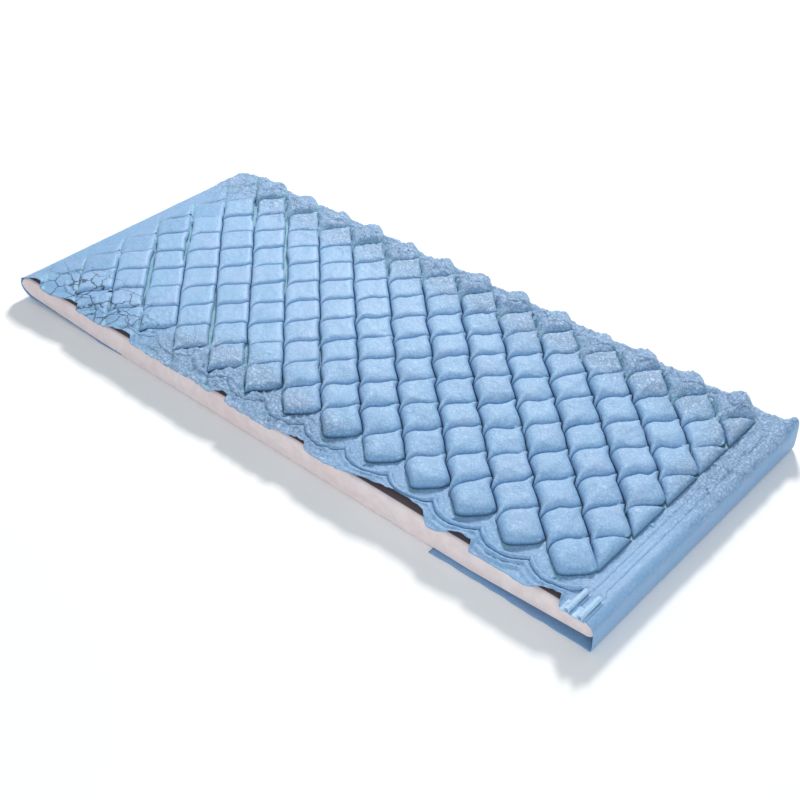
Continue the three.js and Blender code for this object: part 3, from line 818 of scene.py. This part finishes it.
def film_part(name, line, samples, nodes):
    """A part of the sheet: the side view carried across the width. Each point leaves the line along
    its normal by film_height, which fades out round the ends and under the slab. droop lets the far
    edge hang, and tip turns up the far corner at the foot."""
    x, z = line[:, 0][:, None], line[:, 1][:, None]
    normal = line_normals(line)
    side = samples[None, :]
    on_top = smooth(SLAB_TOP - 16 * MM, SLAB_TOP - 1 * MM, z)
    reach = np.where(side < 0, edge_reach(x, -1, on_top), edge_reach(x, 1, on_top))
    y = side * (FILM_SIDE + (reach - FILM_SIDE) * np.abs(side) ** 5)
    height = film_height(x, y)
    out = height * on_top
    round_end = smooth(4 * MM, 20 * MM, z) * (1 - on_top)
    out = out + round_end * 0.8 * MM * (noise(y / 0.03, z / 0.05, 61) + 1)
    droop = 10 * MM * smooth(SLAB_SIDE - 8 * MM, FILM_SIDE, y) * on_top
    tip = 30 * MM * smooth(0.965, 1.015, x) ** 2 * smooth(0.375, 0.45, y) ** 1.5 * smooth(0.02, 0.07, z)
    normal_x, normal_z = normal[:, 0][:, None], normal[:, 1][:, None]
    points = np.stack([x + normal_x * out, y, z + normal_z * out - droop + tip], -1)
    fold, _, inside = quilting(x, y)
    # the crown number follows the carried-on quilting's dome, so the sheet material paints shade in the
    # folds' valleys
    crown = np.where(inside, 0.42, 0.12 + 0.88 * fold) * on_top + 0.85 * (1 - on_top)
    share = crumple_share(x, y) * on_top
    rows, columns = crown.shape
    quads = grid_quads(rows, columns)[:, ::-1]
    piece = mesh_piece(name, points.reshape(-1, 3), quads, (), SHEET_FILM,
                       crown=crown, crumple=share, crack=crack_share(x, y) * on_top)
    thicken(piece, FILM_THICKNESS)
    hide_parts(*nodes)
    return piece


def film():
    """The pad's sheet in three parts that meet under the cells."""
    head, middle, foot = film_profile()
    wide = np.linspace(-1, 1, 221)
    edge = 1 - 0.25 * np.linspace(0, 1, 32)
    margins = np.concatenate([-edge, np.linspace(-0.75, 0.75, 27)[1:-1], edge[::-1]])
    lower = film_part("pad_sheet", middle, margins, ["lower_film"])
    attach(lower, "covered_slab")
    head_end = film_part("head_end_film", head, wide, ["head_wrap", "head_flap"])
    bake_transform(head_end)
    foot_end = film_part("foot_end_film", foot, wide, ["foot_wrap", "foot_flap"])
    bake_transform(foot_end)


# ---- Feed channels and inlets ------------------------------------------------------------------------
BEAD_STEP = 3.5 * MM
BRANCH_WIDTH = 13 * MM
BRANCH_HEIGHT = 5 * MM
TUBE_WALL = 1.6 * MM
FLANGE_WIDTH = 7 * MM
FLANGE_THICKNESS = 0.9 * MM


def loops(side):
    """The scalloped line round the edge cells of one side: an arc about each cell's centre."""
    half = math.asin(PITCH / FESTOON)
    first = 0 if side < 0 else 1
    edge = row_y(0) if side < 0 else row_y(HALF_ROWS - 1)
    angle = np.linspace(-half, half, 34)[:-1]
    line = []
    for column in range(first, COLUMNS + 1, 2):
        x = column_x(column) + FESTOON * np.sin(angle)
        y = edge + side * FESTOON * np.cos(angle)
        line.append(np.stack([x, y], -1)[x <= CUT_X + 3 * MM])
    return np.concatenate(line)


def bead(parts, line, width, height, seed, shade=0.5):
    """A soft half-round channel along a line on the sheet: a half ellipse with a flat underside,
    lower at its ends, and slightly uneven along its length."""
    line = even(line, BEAD_STEP)
    normal = line_normals(line)
    angle = np.linspace(0, math.pi, 11)
    along = np.arange(len(line)) * BEAD_STEP
    taper = smooth(0, 8 * MM, along) * smooth(0, 8 * MM, along[-1] - along) * 0.7 + 0.3
    swell = taper * (1 + 0.16 * noise(along / 0.024, along * 0 + seed, seed))
    pinch = 1 + 0.10 * noise(along / 0.017, along * 0 + seed + 3, seed)
    side = -np.cos(angle)[None, :] * (width / 2) * pinch[:, None]
    x = line[:, 0][:, None] + normal[:, 0][:, None] * side
    y = line[:, 1][:, None] + normal[:, 1][:, None] * side
    base = CELL_BASE - 0.5 * MM + film_height(x, y)
    z = base + np.sin(angle)[None, :] ** 0.8 * height * swell[:, None] * (0.35 + 0.65 * fullness(x))
    points = np.stack([x, y, z], -1)
    rows, columns = len(line), len(angle)
    # painted shade: the crown number drops to shade at the bead's foot, darkening the film colour along its
    # edges
    crown = shade + (1 - shade) * np.sin(angle)[None, :] ** 0.7 * np.ones((rows, 1))
    quads = grid_quads(rows, columns, around=True)[:, ::-1]
    caps = [np.arange(columns)[::-1], (rows - 1) * columns + np.arange(columns)]
    parts.add(points, quads, caps, crown)


def branch(parts, start, end, seed):
    """A short straight channel that feeds a row of cells."""
    bead(parts, [start, end], BRANCH_WIDTH, BRANCH_HEIGHT, seed)


def feed_channel_a():
    """Circuit A's channel: round the near side's loops to its tube, then across the foot strip, with
    a short branch to every fourth column and to two rows at the foot."""
    parts = Parts()
    line = loops(-1)
    foot_x = CUT_X + 3 * MM + CHANNEL_INSET
    end = (foot_x - 2 * MM, tube_a_high[1] + 1 * MM)
    loop_to_tube = np.concatenate([line, [(foot_x - 6 * MM, line[-1][1]), end]])
    bead(parts, loop_to_tube, CHANNEL_WIDTH, CHANNEL_HEIGHT, 3)
    across_foot = [(foot_x, end[1] + 8 * MM), (foot_x, row_y(7) + 16 * MM)]
    bead(parts, across_foot, CHANNEL_WIDTH, CHANNEL_HEIGHT * FOOT_SINK, 5, 0.92)
    for column in range(0, COLUMNS, 4):
        x = column_x(column)
        branch(parts, (x, row_y(0) - PITCH + 8 * MM), (x, row_y(0) - FESTOON), column)
    for row in (3, 7):
        branch(parts, (CUT_X - 2 * MM, row_y(row)), (foot_x, row_y(row)), row)
    return parts.piece("feed_channel_near", SHEET_FILM)


def feed_channel_b():
    """Circuit B's channel: from the head end round the far side's loops, then across the foot strip
    to its tube, with a short branch to every fourth column and to two rows at the head."""
    parts = Parts()
    line = loops(1)
    head_x = column_x(0) - PITCH - CHANNEL_INSET
    foot_x = CUT_X + 3 * MM + CHANNEL_INSET + CHANNEL_SPACING
    tube_x = (tube_b_low[0] + tube_b_high[0]) / 2
    far = row_y(HALF_ROWS - 1)
    start = [(head_x, row_y(2) - 16 * MM), (head_x, far + CHANNEL_INSET)]
    finish = [(foot_x - 10 * MM, far + FESTOON - 26 * MM), (foot_x, far + FESTOON - 46 * MM),
              (foot_x, tube_b_high[1] + 28 * MM), (tube_x, tube_b_high[1] + 14 * MM),
              (tube_x, tube_b_high[1] + 1 * MM)]
    bead(parts, np.concatenate([start, line]), CHANNEL_WIDTH, CHANNEL_HEIGHT * 0.32, 8, 0.8)
    bead(parts, np.concatenate([line[-1:], finish]), CHANNEL_WIDTH, CHANNEL_HEIGHT * FOOT_SINK, 9, 0.92)
    for column in range(1, COLUMNS, 4):
        x = column_x(column)
        branch(parts, (x, far + PITCH - 8 * MM), (x, far + FESTOON), column)
    for row in (2, 6):
        branch(parts, (head_x, row_y(row)), (column_x(0) - PITCH + 8 * MM, row_y(row)), row)
    return parts.piece("feed_channel_far", SHEET_FILM)


def tube_wall(centre, radius, y):
    """A tube's closed wall as points and quads: an outer and an inner ring carried along Y and joined
    at both mouths, slightly flattened and uneven, and flared at its free end."""
    steps, around = len(y), 28
    angle = np.linspace(0, TAU, around, endpoint=False)
    wave = 1 + 0.05 * noise(y[:, None] / 0.012 + np.cos(angle) * 2, np.sin(angle)[None, :] * 2, 71)
    flare = 1 + 0.10 * smooth(0.75, 1.0, np.linspace(0, 1, steps))[:, None]
    rings = []
    for size in (radius, radius - TUBE_WALL):
        x = centre[0] + np.cos(angle)[None, :] * size * 1.04 * wave * flare
        z = centre[2] - 0.3 * MM + np.sin(angle)[None, :] * size * 0.92 * wave * flare
        rings.append(np.stack([x, y[:, None] + 0 * x, z], -1))
    outer, inner = rings
    body = np.concatenate([outer, inner[::-1]])
    quads = grid_quads(len(body), around, around=True)
    last, first = (len(body) - 1) * around + np.arange(around), np.arange(around)
    joint = np.stack([last, np.roll(last, -1), np.roll(first, -1), first], -1)
    return body, np.concatenate([quads, joint])


def tube_flange(parts, centre, radius, y, side):
    """A tube's flat weld flange on one side: a thin band along Y that is a little uneven."""
    across = np.linspace(0, 1, 4)[None, :]
    x = centre[0] + side * (radius * 0.8 + across * FLANGE_WIDTH)
    z = CELL_BASE + 1.2 * MM + 0.5 * MM * noise(y[:, None] / 0.02 + side, across * 2, 73) + 0 * x
    sheet = np.stack([x + 0 * z, y[:, None] + 0 * z, z], -1)
    bottom = sheet - (0, 0, FLANGE_THICKNESS)
    ring = np.concatenate([sheet, bottom[:, ::-1]], axis=1)
    rows, columns = ring.shape[:2]
    caps = [np.arange(columns)[::-1], (rows - 1) * columns + np.arange(columns)]
    quads = grid_quads(rows, columns, around=True)
    if side < 0:  # mirrored, so its faces are turned to point outwards
        quads, caps = quads[:, ::-1], [cap[::-1] for cap in caps]
    parts.add(ring, quads, caps, 0.6)


def inlet_tube(name, low, high, node):
    """A short film tube with an open end and a flat weld flange on both sides."""
    centre = (low + high) / 2
    radius = (high[0] - low[0]) / 2
    y = np.linspace(high[1], low[1] - 1.5 * MM, 26)
    parts = Parts()
    parts.add(*tube_wall(centre, radius, y))
    for side in (-1, 1):
        tube_flange(parts, centre, radius, y, side)
    piece = parts.piece(name, TUBE_FILM)
    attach(piece, "covered_slab")
    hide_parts(node)
    return piece


def inlet_patch():
    """The pale patch under the tubes' mouths: a thin sheet that follows the film, slightly uneven."""
    low, high = node_box("inlet_patch")
    rows, columns = 30, 20
    x = np.linspace(low[0] - 2 * MM, high[0] - 1 * MM, rows)[:, None]
    y = np.linspace(low[1] - 1 * MM, high[1], columns)[None, :]
    z = CELL_BASE + 0.6 * MM + film_height(x, y) + 0.4 * MM * noise(x / 0.02, y / 0.02, 81)
    points = np.stack([x + 0 * z, y + 0 * z, z], -1)
    piece = mesh_piece("inlet_weld_patch", points.reshape(-1, 3), grid_quads(rows, columns), (),
                       TUBE_FILM, crown=np.ones(rows * columns))
    thicken(piece, 0.8 * MM)
    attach(piece, "covered_slab")
    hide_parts("inlet_patch")
    return piece


# ---- Covered slab ---------------------------------------------------------------------------------
SLAB_CORNER = 9 * MM


def slab_heights(x, inset):
    """The slab's underside and top at each x, from the side view's nose curves and underside."""
    under_x, under_z, top_x, top_z = [], [], [], []
    for size, side in ((HEAD_NOSE, -1), (FOOT_NOSE, 1)):
        upper, lower = nose(size, side, -inset, 60)
        ramp = [(side * (SLAB_END - size["rise"]), FLAP_RECESS + inset),
                (side * (SLAB_END - FLAP_LENGTH - 15 * MM), FLAP_RECESS + inset),
                (side * (SLAB_END - FLAP_LENGTH - 30 * MM), inset)]
        under = np.concatenate([lower, ramp])
        order = slice(None) if side < 0 else slice(None, None, -1)
        under_x.append(under[order, 0])
        under_z.append(under[order, 1])
        line = upper[::-1] if side < 0 else upper
        top_x.append(line[:, 0])
        top_z.append(line[:, 1])
    low = np.interp(x, np.concatenate(under_x), np.concatenate(under_z))
    high = np.interp(x, np.concatenate(top_x), np.concatenate(top_z))
    return low, np.maximum(high, low + 0.2 * MM)


def zip_hold(x, y, z):
    """1 where the far wall is sewn to the zip's tapes and lies flat behind them, 0 away from them."""
    low, high = node_box("zip_tape_lower")[0], node_box("zip_tape_upper")[1]
    along = smooth(low[0] - 40 * MM, low[0], x) * smooth(-high[0] - 40 * MM, -high[0], -x)
    upright = smooth(low[2] - 12 * MM, low[2] - 1 * MM, z) * smooth(-high[2] - 12 * MM, -high[2] - 1 * MM, -z)
    return along * upright * (y > 0)


def slab_ring(half, width):
    """Rounded rectangles of half height half and half width width: (across, up, kind), going round
    from the near wall over the top. kind runs from 0 to 1 on a wall, is 1 on a corner's arc and 2 on
    the flat top and underside."""
    flat = np.linspace(-1, 1, 25)[None, :]
    wall = side_samples(17)[None, :]
    arc = np.linspace(0, math.pi / 2, 7)[None, 1:-1]
    corner = np.minimum(half, SLAB_CORNER)
    inner, rise = width - corner, half - corner
    sides, ups, kinds = [], [], []
    for side in (-1, 1):  # the near wall and the top, then the far wall and the underside
        sides += [side * width + 0 * rise * wall, side * (inner + corner * np.cos(arc)),
                  -side * inner * flat, -side * (inner + corner * np.sin(arc))]
        ups += [-side * rise * wall, -side * (rise + corner * np.sin(arc)),
                -side * half + 0 * flat, -side * (rise + corner * np.cos(arc))]
        kinds += [np.abs(wall), 1 + 0 * arc, 2 + 0 * flat, 1 + 0 * arc]
    return tuple(np.concatenate(part, axis=1) for part in (sides, ups, kinds))


def slab(name, inset, material, soft):
    """A slab with rounded edges: at each place along the length, a rounded rectangle across it, from
    the underside to the top. soft scales its folds and the swell of its sides, and a number stored on the
    flat top panel makes the cover material paint shade there, for the shadow under the film's lifted
    edges, which shows only where the film lifts."""
    reach = SLAB_END - inset
    x = reach * np.sin(np.linspace(-math.pi / 2, math.pi / 2, 301))
    x = np.sign(x) * reach * (1 - (1 - np.abs(x) / reach) ** 0.9)
    low, high = slab_heights(x, inset)
    middle, half = (low + high) / 2, (high - low) / 2
    width = SLAB_SIDE - inset
    y, across, kind = slab_ring(half[:, None], width)
    z = middle[:, None] + across
    place = x[:, None] + 0 * y
    wall_share = np.clip(1 - kind, 0, 1) * smooth(0, 0.03, half)[:, None]
    swell = 2.2 * MM * (1 - (across / np.maximum(half[:, None], 1 * MM)) ** 2)
    fold = noise(place / 0.22 + z * 9, z / 0.013, 91) * 0.9 + noise(place / 0.09, z / 0.007, 92) * 0.35
    drape = creases(place * 0.35, z, 0.021, 93) - 0.3
    out = soft * wall_share * (swell + 1.1 * MM * fold + 1.2 * MM * drape)
    hold = zip_hold(place, y, z)
    y = y + np.sign(y) * (out * (1 - hold) - 0.4 * MM * soft * hold)
    points = np.stack([place, y, z], -1)
    rows, columns = y.shape
    caps = [np.arange(columns), ((rows - 1) * columns + np.arange(columns))[::-1]]
    # painted shade: marks the flat top panel, whose cover colour the material darkens as the shadow under the
    # film's lifted edges
    lining = smooth(1.55, 1.95, np.broadcast_to(kind, y.shape)) * (z > middle[:, None])
    quads = grid_quads(rows, columns, around=True)[:, ::-1]
    piece = mesh_piece(name, points.reshape(-1, 3), quads, caps, material, lining=lining)
    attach(piece, "covered_slab")
    return piece


def covered_slab():
    """The cover, and the foam core a cover's thickness inside it."""
    cover = slab("slab_cover", 0.0, COVER_CLOTH, 1.0)
    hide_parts("foam_cover")
    core = slab("slab_core", 3 * MM, FOAM, 0.0)
    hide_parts("foam_core")


# ---- Zip on the slab's far side ----------------------------------------------------------------------
COIL_STEP = 2.5 * MM
COIL_TURN = (0.8 * MM, 2.1 * MM)  # half a turn's thickness and half its height
SLIDER_BODY = 2.3 * MM


def ellipsoid(sizes, around=8, steps=5):
    """Points and faces of a small ellipsoid, as rings between two poles that are closed by caps."""
    height = np.linspace(-1, 1, steps + 2)[1:-1] * math.pi / 2
    angle = np.linspace(0, TAU, around, endpoint=False)
    points = np.stack([
        np.cos(height)[:, None] * np.cos(angle)[None, :],
        np.cos(height)[:, None] * np.sin(angle)[None, :],
        np.sin(height)[:, None] + 0 * angle[None, :],
    ], -1) * np.array(sizes)
    caps = [np.arange(around)[::-1], (steps - 1) * around + np.arange(around)]
    return points.reshape(-1, 3), grid_quads(steps, around, around=True), caps


def zip_coil():
    """Two rows of coil turns that mesh along the middle, the rows leaning opposite ways."""
    low, high = node_box("zip_chain")
    centre = (low + high) / 2
    count = int((high[0] - low[0]) / COIL_STEP)
    parts = Parts()
    shape, quads, caps = ellipsoid((COIL_TURN[0], (high[1] - low[1]) * 0.5, COIL_TURN[1]))
    for side in (-1, 1):
        lean = shape.copy()
        lean[:, 0] += side * 0.35 * lean[:, 2]
        x = low[0] + (np.arange(count) + 0.5 + side * 0.25) * (high[0] - low[0]) / count
        z = centre[2] + side * (high[2] - low[2] - 2 * COIL_TURN[1]) / 2
        places = np.stack([x, np.full(count, centre[1]), np.full(count, z)], -1)
        every = (places[:, None, :] + lean[None, :, :]).reshape(-1, 3)
        shift = np.arange(count)[:, None, None] * len(shape)
        all_quads = (quads[None] + shift).reshape(-1, 4)
        all_caps = [cap + k * len(shape) for k in range(count) for cap in caps]
        parts.add(every, all_quads, all_caps)
    return parts.piece("zip_coil", COIL)


def zip_tape(name, node):
    """A woven tape: a thin band with a cord along its inner edge and a row of stitches."""
    low, high = node_box(node)
    steps, around = 500, 28
    x = np.linspace(low[0], high[0], steps)[:, None]
    angle = np.linspace(0, TAU, around, endpoint=False)[None, :]
    centre, half = (low + high) / 2, (high - low) / 2
    flat = np.sign(np.sin(angle)) * np.abs(np.sin(angle)) ** 0.5
    across = np.sign(np.cos(angle)) * np.abs(np.cos(angle)) ** 0.5
    inner = -1 if node == "zip_tape_upper" else 1
    cord = 0.5 * MM * np.exp(-((across * inner - 0.78) / 0.16) ** 2)
    stitch = 0.25 * MM * (np.sin(TAU * x / (2.6 * MM)) > 0) * np.exp(-((across * inner - 0.35) / 0.07) ** 2)
    ease = 0.25 * MM * noise(x / 0.05, across * 0.6, 101)
    y = centre[1] + flat * half[1] + np.where(np.sin(angle) > 0, cord - stitch, 0) + ease * np.abs(across)
    z = centre[2] + across * half[2] + 0.3 * MM * noise(x / 0.07, 0 * across + inner, 102)
    points = np.stack([x + 0 * y, y, z + 0 * y], -1)
    caps = [np.arange(around)[::-1], (steps - 1) * around + np.arange(around)]
    parts = Parts()
    parts.add(points, grid_quads(steps, around, around=True), caps)
    return parts.piece(name, TAPE_CLOTH)


def rounded_block(parts, centre, sizes, power=0.35, taper=0.0):
    """A block with rounded edges: an ellipsoid with its sines and cosines drawn towards 1, narrowed
    along +X by taper."""
    steps, around = 15, 40
    height = np.linspace(-math.pi / 2, math.pi / 2, steps + 2)[1:-1][:, None]
    angle = np.linspace(0, TAU, around, endpoint=False)[None, :]

    def swell(value):
        return np.sign(value) * np.abs(value) ** power

    x = swell(np.cos(height)) * swell(np.cos(angle))
    z = swell(np.cos(height)) * swell(np.sin(angle)) * (1 - taper * (x + 1) / 2)
    y = swell(np.sin(height)) + 0 * angle
    points = np.stack([x, y, z], -1) * np.array(sizes) + np.array(centre)
    caps = [np.arange(around), ((steps - 1) * around + np.arange(around))[::-1]]
    parts.add(points, grid_quads(steps, around, around=True)[:, ::-1], caps)


def zip_slider():
    """The slider: a rounded block that narrows along +X, and a bridge, which is a ring carried along
    half an ellipse."""
    low, high = node_box("zip_slider")
    centre, half = (low + high) / 2, (high - low) / 2
    parts = Parts()
    body_top = low[1] + SLIDER_BODY
    rounded_block(parts, (centre[0], (low[1] + body_top) / 2, centre[2]),
                  (half[0], (body_top - low[1]) / 2, half[2]), 0.4, 0.25)
    steps, around = 21, 12
    t = np.linspace(0, math.pi, steps)[:, None]
    angle = np.linspace(0, TAU, around, endpoint=False)[None, :]
    thick, sink = 0.75 * MM, 0.4 * MM  # the bridge's half thickness, and how deep its feet go in
    reach, rise = half[0] * 0.62, high[1] - thick - body_top + sink
    normal_x, normal_y = -np.cos(t) * rise, np.sin(t) * reach
    size = np.hypot(normal_x, normal_y)
    x = centre[0] - np.cos(t) * reach + normal_x / size * np.cos(angle) * thick
    y = body_top - sink + np.sin(t) * rise + normal_y / size * np.cos(angle) * thick
    z = centre[2] + np.sin(angle) * thick * 1.3 + 0 * t
    caps = [np.arange(around)[::-1], (steps - 1) * around + np.arange(around)]
    parts.add(np.stack([x, y, z], -1), grid_quads(steps, around, around=True), caps)
    return parts.piece("zip_slider_body", METAL)


def zip_pull():
    """The pull: a flat ring drawn out into a tab. Its rim runs between an outer outline and the
    outline of the hole, and its section is a rounded rectangle."""
    low, high = node_box("zip_pull")
    centre, half = (low + high) / 2, (high - low) / 2
    steps, around = 72, 20
    angle = np.linspace(0, TAU, steps, endpoint=False)[:, None]
    section = np.linspace(0, TAU, around, endpoint=False)[None, :]
    outer_x = half[0] * np.sign(np.cos(angle)) * np.abs(np.cos(angle)) ** 0.6
    outer_z = centre[2] + half[2] * np.sign(np.sin(angle)) * np.abs(np.sin(angle)) ** 0.6
    hole_top = high[2] - 1.8 * MM
    hole_low = high[2] - 7.5 * MM
    inner_x = 0.52 * half[0] * np.cos(angle)
    inner_z = (hole_top + hole_low) / 2 + (hole_top - hole_low) / 2 * np.sin(angle)
    across = 0.5 + 0.5 * np.sign(np.cos(section)) * np.abs(np.cos(section)) ** 0.35
    thick = half[1] * np.sign(np.sin(section)) * np.abs(np.sin(section)) ** 0.45
    x = centre[0] + inner_x + (outer_x - inner_x) * across
    z = inner_z + (outer_z - inner_z) * across
    y = centre[1] + thick + 0 * x
    index = np.arange(steps)[:, None] * around + np.arange(around)[None, :]
    ahead, aside = np.roll(index, -1, 0), np.roll(index, -1, 1)
    corner = np.roll(ahead, -1, 1)
    quads = np.stack([index, aside, corner, ahead], -1).reshape(-1, 4)
    return mesh_piece("zip_pull_tab", np.stack([x, y, z], -1).reshape(-1, 3), quads, (), METAL)


def zip_fastener():
    """Every zip piece, on its body."""
    for piece, node, body, slot in (
        (zip_coil(), "zip_chain", "covered_slab", "zip_coil"),
        (zip_tape("zip_band_upper", "zip_tape_upper"), "zip_tape_upper", "covered_slab", "cover_fabric"),
        (zip_tape("zip_band_lower", "zip_tape_lower"), "zip_tape_lower", "covered_slab", "cover_fabric"),
        (zip_slider(), "zip_slider", "zip_slider", "zip_metal"),
        (zip_pull(), "zip_pull", "zip_pull", "zip_metal"),
    ):
        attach(piece, body)
        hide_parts(node)


# ---- Stage, light and camera ---------------------------------------------------------------------
FLOOR_SIZE = 40
FLOOR_Z = -0.6 * MM
FLOOR_COLOUR = (0.975, 0.975, 0.975, 1)
SKY_COLOUR = (0.90, 0.985, 1.05, 1)
SKY_STRENGTH = 0.51
EYE_PLACE = (1.887, -2.028, 2.059)
EYE_AZIMUTH, EYE_ELEVATION = math.radians(41.635), math.radians(38.139)
FOCAL_LENGTH, SENSOR_WIDTH = 56.5, 36.0  # millimetres


def stage():
    """A pale floor just under the slab, and a plain pale sky."""
    bpy.ops.mesh.primitive_plane_add(size=FLOOR_SIZE, location=(0, 0, FLOOR_Z))
    floor = bpy.context.object
    floor.name = "floor"
    finish = Finish("pale_floor", 0.9, Specular_IOR_Level=0.1)
    finish.shader.inputs["Base Color"].default_value = FLOOR_COLOUR
    floor.data.materials.append(finish.material)
    world = bpy.data.worlds.new("studio")
    bpy.context.scene.world = world
    world.use_nodes = True
    sky = world.node_tree.nodes["Background"].inputs
    sky["Color"].default_value = SKY_COLOUR
    sky["Strength"].default_value = SKY_STRENGTH


def area_light(name, place, target, size, power, colour=(1, 1, 1)):
    """A rectangular lamp that faces its target."""
    data = bpy.data.lights.new(name, "AREA")
    data.shape, data.size, data.size_y = "RECTANGLE", *size
    data.energy, data.color = power, colour
    light = bpy.data.objects.new(name, data)
    bpy.context.scene.collection.objects.link(light)
    light.location = place
    way = Vector(place) - Vector(target)
    light.rotation_euler = way.to_track_quat("Z", "Y").to_euler()


def lights():
    """A warm key from beyond the far side, and a wide weak fill from the foot's near corner."""
    area_light("key_softbox", (-2.4, 4.64, 4.64), (0, 0, 0), (1.1, 1.1), 425, (1.0, 0.98, 0.95))
    area_light("fill_softbox", (2.7, -3.6, 1.7), (0, 0, 0.05), (3.4, 1.6), 62)


def camera():
    """The eye: it looks back along the line that its azimuth and elevation give."""
    data = bpy.data.cameras.new("camera")
    data.lens, data.sensor_width = FOCAL_LENGTH, SENSOR_WIDTH
    eye = bpy.data.objects.new("camera", data)
    bpy.context.scene.collection.objects.link(eye)
    back = Vector((math.sin(EYE_AZIMUTH) * math.cos(EYE_ELEVATION),
                      -math.cos(EYE_AZIMUTH) * math.cos(EYE_ELEVATION), math.sin(EYE_ELEVATION)))
    eye.location = EYE_PLACE
    eye.rotation_mode = "QUATERNION"
    eye.rotation_quaternion = back.to_track_quat("Z", "Y")
    data.clip_start, data.clip_end = 0.05, 60
    bpy.context.scene.camera = eye


# ---- Assembly --------------------------------------------------------------------------------------
bpy.context.scene.view_settings.view_transform = "Standard"
camera()
stage()
lights()
covered_slab()
film()
for make, node in ((feed_channel_a, "feed_channel_a"), (feed_channel_b, "feed_channel_b")):
    channel = make()
    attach(channel, "covered_slab")
    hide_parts(node)
inlet_tube("inlet_tube_first", tube_a_low, tube_a_high, "inlet_tube_a")
inlet_tube("inlet_tube_second", tube_b_low, tube_b_high, "inlet_tube_b")
inlet_patch()
circuit("a")
circuit("b")
zip_fastener()
